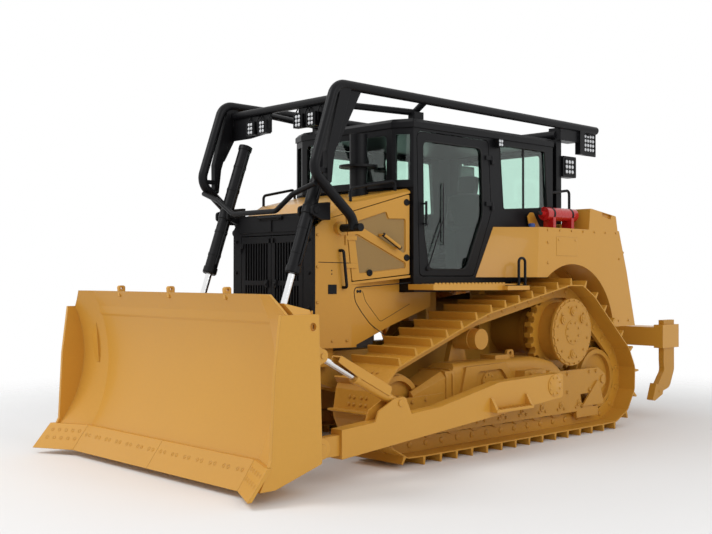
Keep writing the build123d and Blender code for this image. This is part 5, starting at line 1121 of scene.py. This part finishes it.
def make_ripper_fittings():
    """Pin caps of the links and cylinders, and the pins of the shanks' points."""
    fixed, tool, points = bmesh.new(), bmesh.new(), bmesh.new()
    for side in SIDES:
        for way in SIDES:
            for bm, pins, out in ((fixed, BRACKET_PINS, LINK_PIN_HALF),
                                  (tool, BEAM_PINS, LINK_PIN_HALF + 0.002)):
                for x, z in pins:
                    add_cap(bm, at(x, side * LINK_Y + way * out, z), Y * way, 0.034, 0.006,
                            0.027, 0.01)
    piece("ripper_bracket_pin_caps", fixed, YELLOW)
    piece("ripper_beam_pin_caps", tool, YELLOW, "ripper_tool")
    for y in SHANKS_Y:
        for way in SIDES:
            add_cap(points, at(-1.735, y + way * SHANK_PIN_HALF, 0.3), Y * way, 0.016, 0.003,
                    0.01, 0.005, 16)
    piece("ripper_point_pins", points, SHADED_FRAME_YELLOW, "ripper_tool")


make_ripper_fittings()


# -------- stage, light and camera
FLOOR_SIZE, FADE_START, FADE_END = 60, 3.2, 8.0
SKY_LIGHT = 0.66           # strength of the white surround as a light
# lamps of the studio: name, place, size, watts
STUDIO_LAMPS = [("key", (7.5, -2.5, 8.5), 4.0, 330), ("side fill", (1.0, 10.0, 6.5), 5.0, 210)]
LAMP_AIM = Vector((0.5, 0, 1.2))
CAMERA_PLACE = (7.4581, 7.0641, 1.5787)
CAMERA_WAY = Vector((-0.68927, -0.72446, 0.00806))
CAMERA_LENS, CAMERA_SENSOR = 52.115, 36.0


def place_object(name, data, place, way):
    """Lamp or camera at a place, looking along a way."""
    obj = bpy.data.objects.new(name, data)
    obj.location = place
    obj.rotation_euler = way.to_track_quat("-Z", "Y").to_euler()
    bpy.context.collection.objects.link(obj)
    return obj


def make_floor():
    """Pale floor that fades out round the machine."""
    material, tree, shader = start_material("studio floor")
    noise = add_node(tree, "ShaderNodeTexNoise", {"Scale": 3.0}).outputs[0]
    far = add_node(tree, "ShaderNodeVectorMath", {0: add_place(tree)},
                   operation="LENGTH").outputs["Value"]
    fade = add_node(tree, "ShaderNodeMapRange",
                    {"Value": far, "From Min": FADE_START, "From Max": FADE_END,
                     "To Min": 1.0, "To Max": 0.0}, interpolation_type="SMOOTHSTEP")
    set_inputs(tree, shader, {"Base Color": (0.9, 0.9, 0.9, 1), "Roughness": 0.8,
                              "Normal": add_bump(tree, noise, Strength=0.02),
                              "Alpha": fade.outputs[0]})
    bpy.ops.mesh.primitive_plane_add(size=FLOOR_SIZE, location=(0, 0, 0))
    floor = bpy.context.object
    floor.name = "studio_floor"
    floor.data.materials.append(material)


def make_light():
    """White surround, dimmer as a light than it is seen, and two soft lamps."""
    world = bpy.data.worlds.new("studio")
    bpy.context.scene.world = world
    world.use_nodes = True
    tree = world.node_tree
    path = add_node(tree, "ShaderNodeLightPath").outputs
    seen = add_math(tree, "MAXIMUM", path["Is Camera Ray"], path["Is Glossy Ray"])
    seen = add_math(tree, "MAXIMUM", seen, path["Is Transmission Ray"])
    strength = add_node(tree, "ShaderNodeMapRange",
                        {"Value": seen, "To Min": SKY_LIGHT, "To Max": 1.0})
    set_inputs(tree, tree.nodes["Background"],
               {"Color": (1, 1, 1, 1), "Strength": strength.outputs[0]})
    for name, place, size, power in STUDIO_LAMPS:
        data = bpy.data.lights.new(name, "AREA")
        data.size = size
        data.energy = power
        place_object(name, data, place, LAMP_AIM - Vector(place))


def make_camera():
    data = bpy.data.cameras.new("camera")
    data.lens = CAMERA_LENS
    data.sensor_width = CAMERA_SENSOR
    bpy.context.scene.camera = place_object("camera", data, CAMERA_PLACE, CAMERA_WAY)


make_floor()
make_light()
make_camera()
bpy.context.scene.view_settings.view_transform = "Standard"
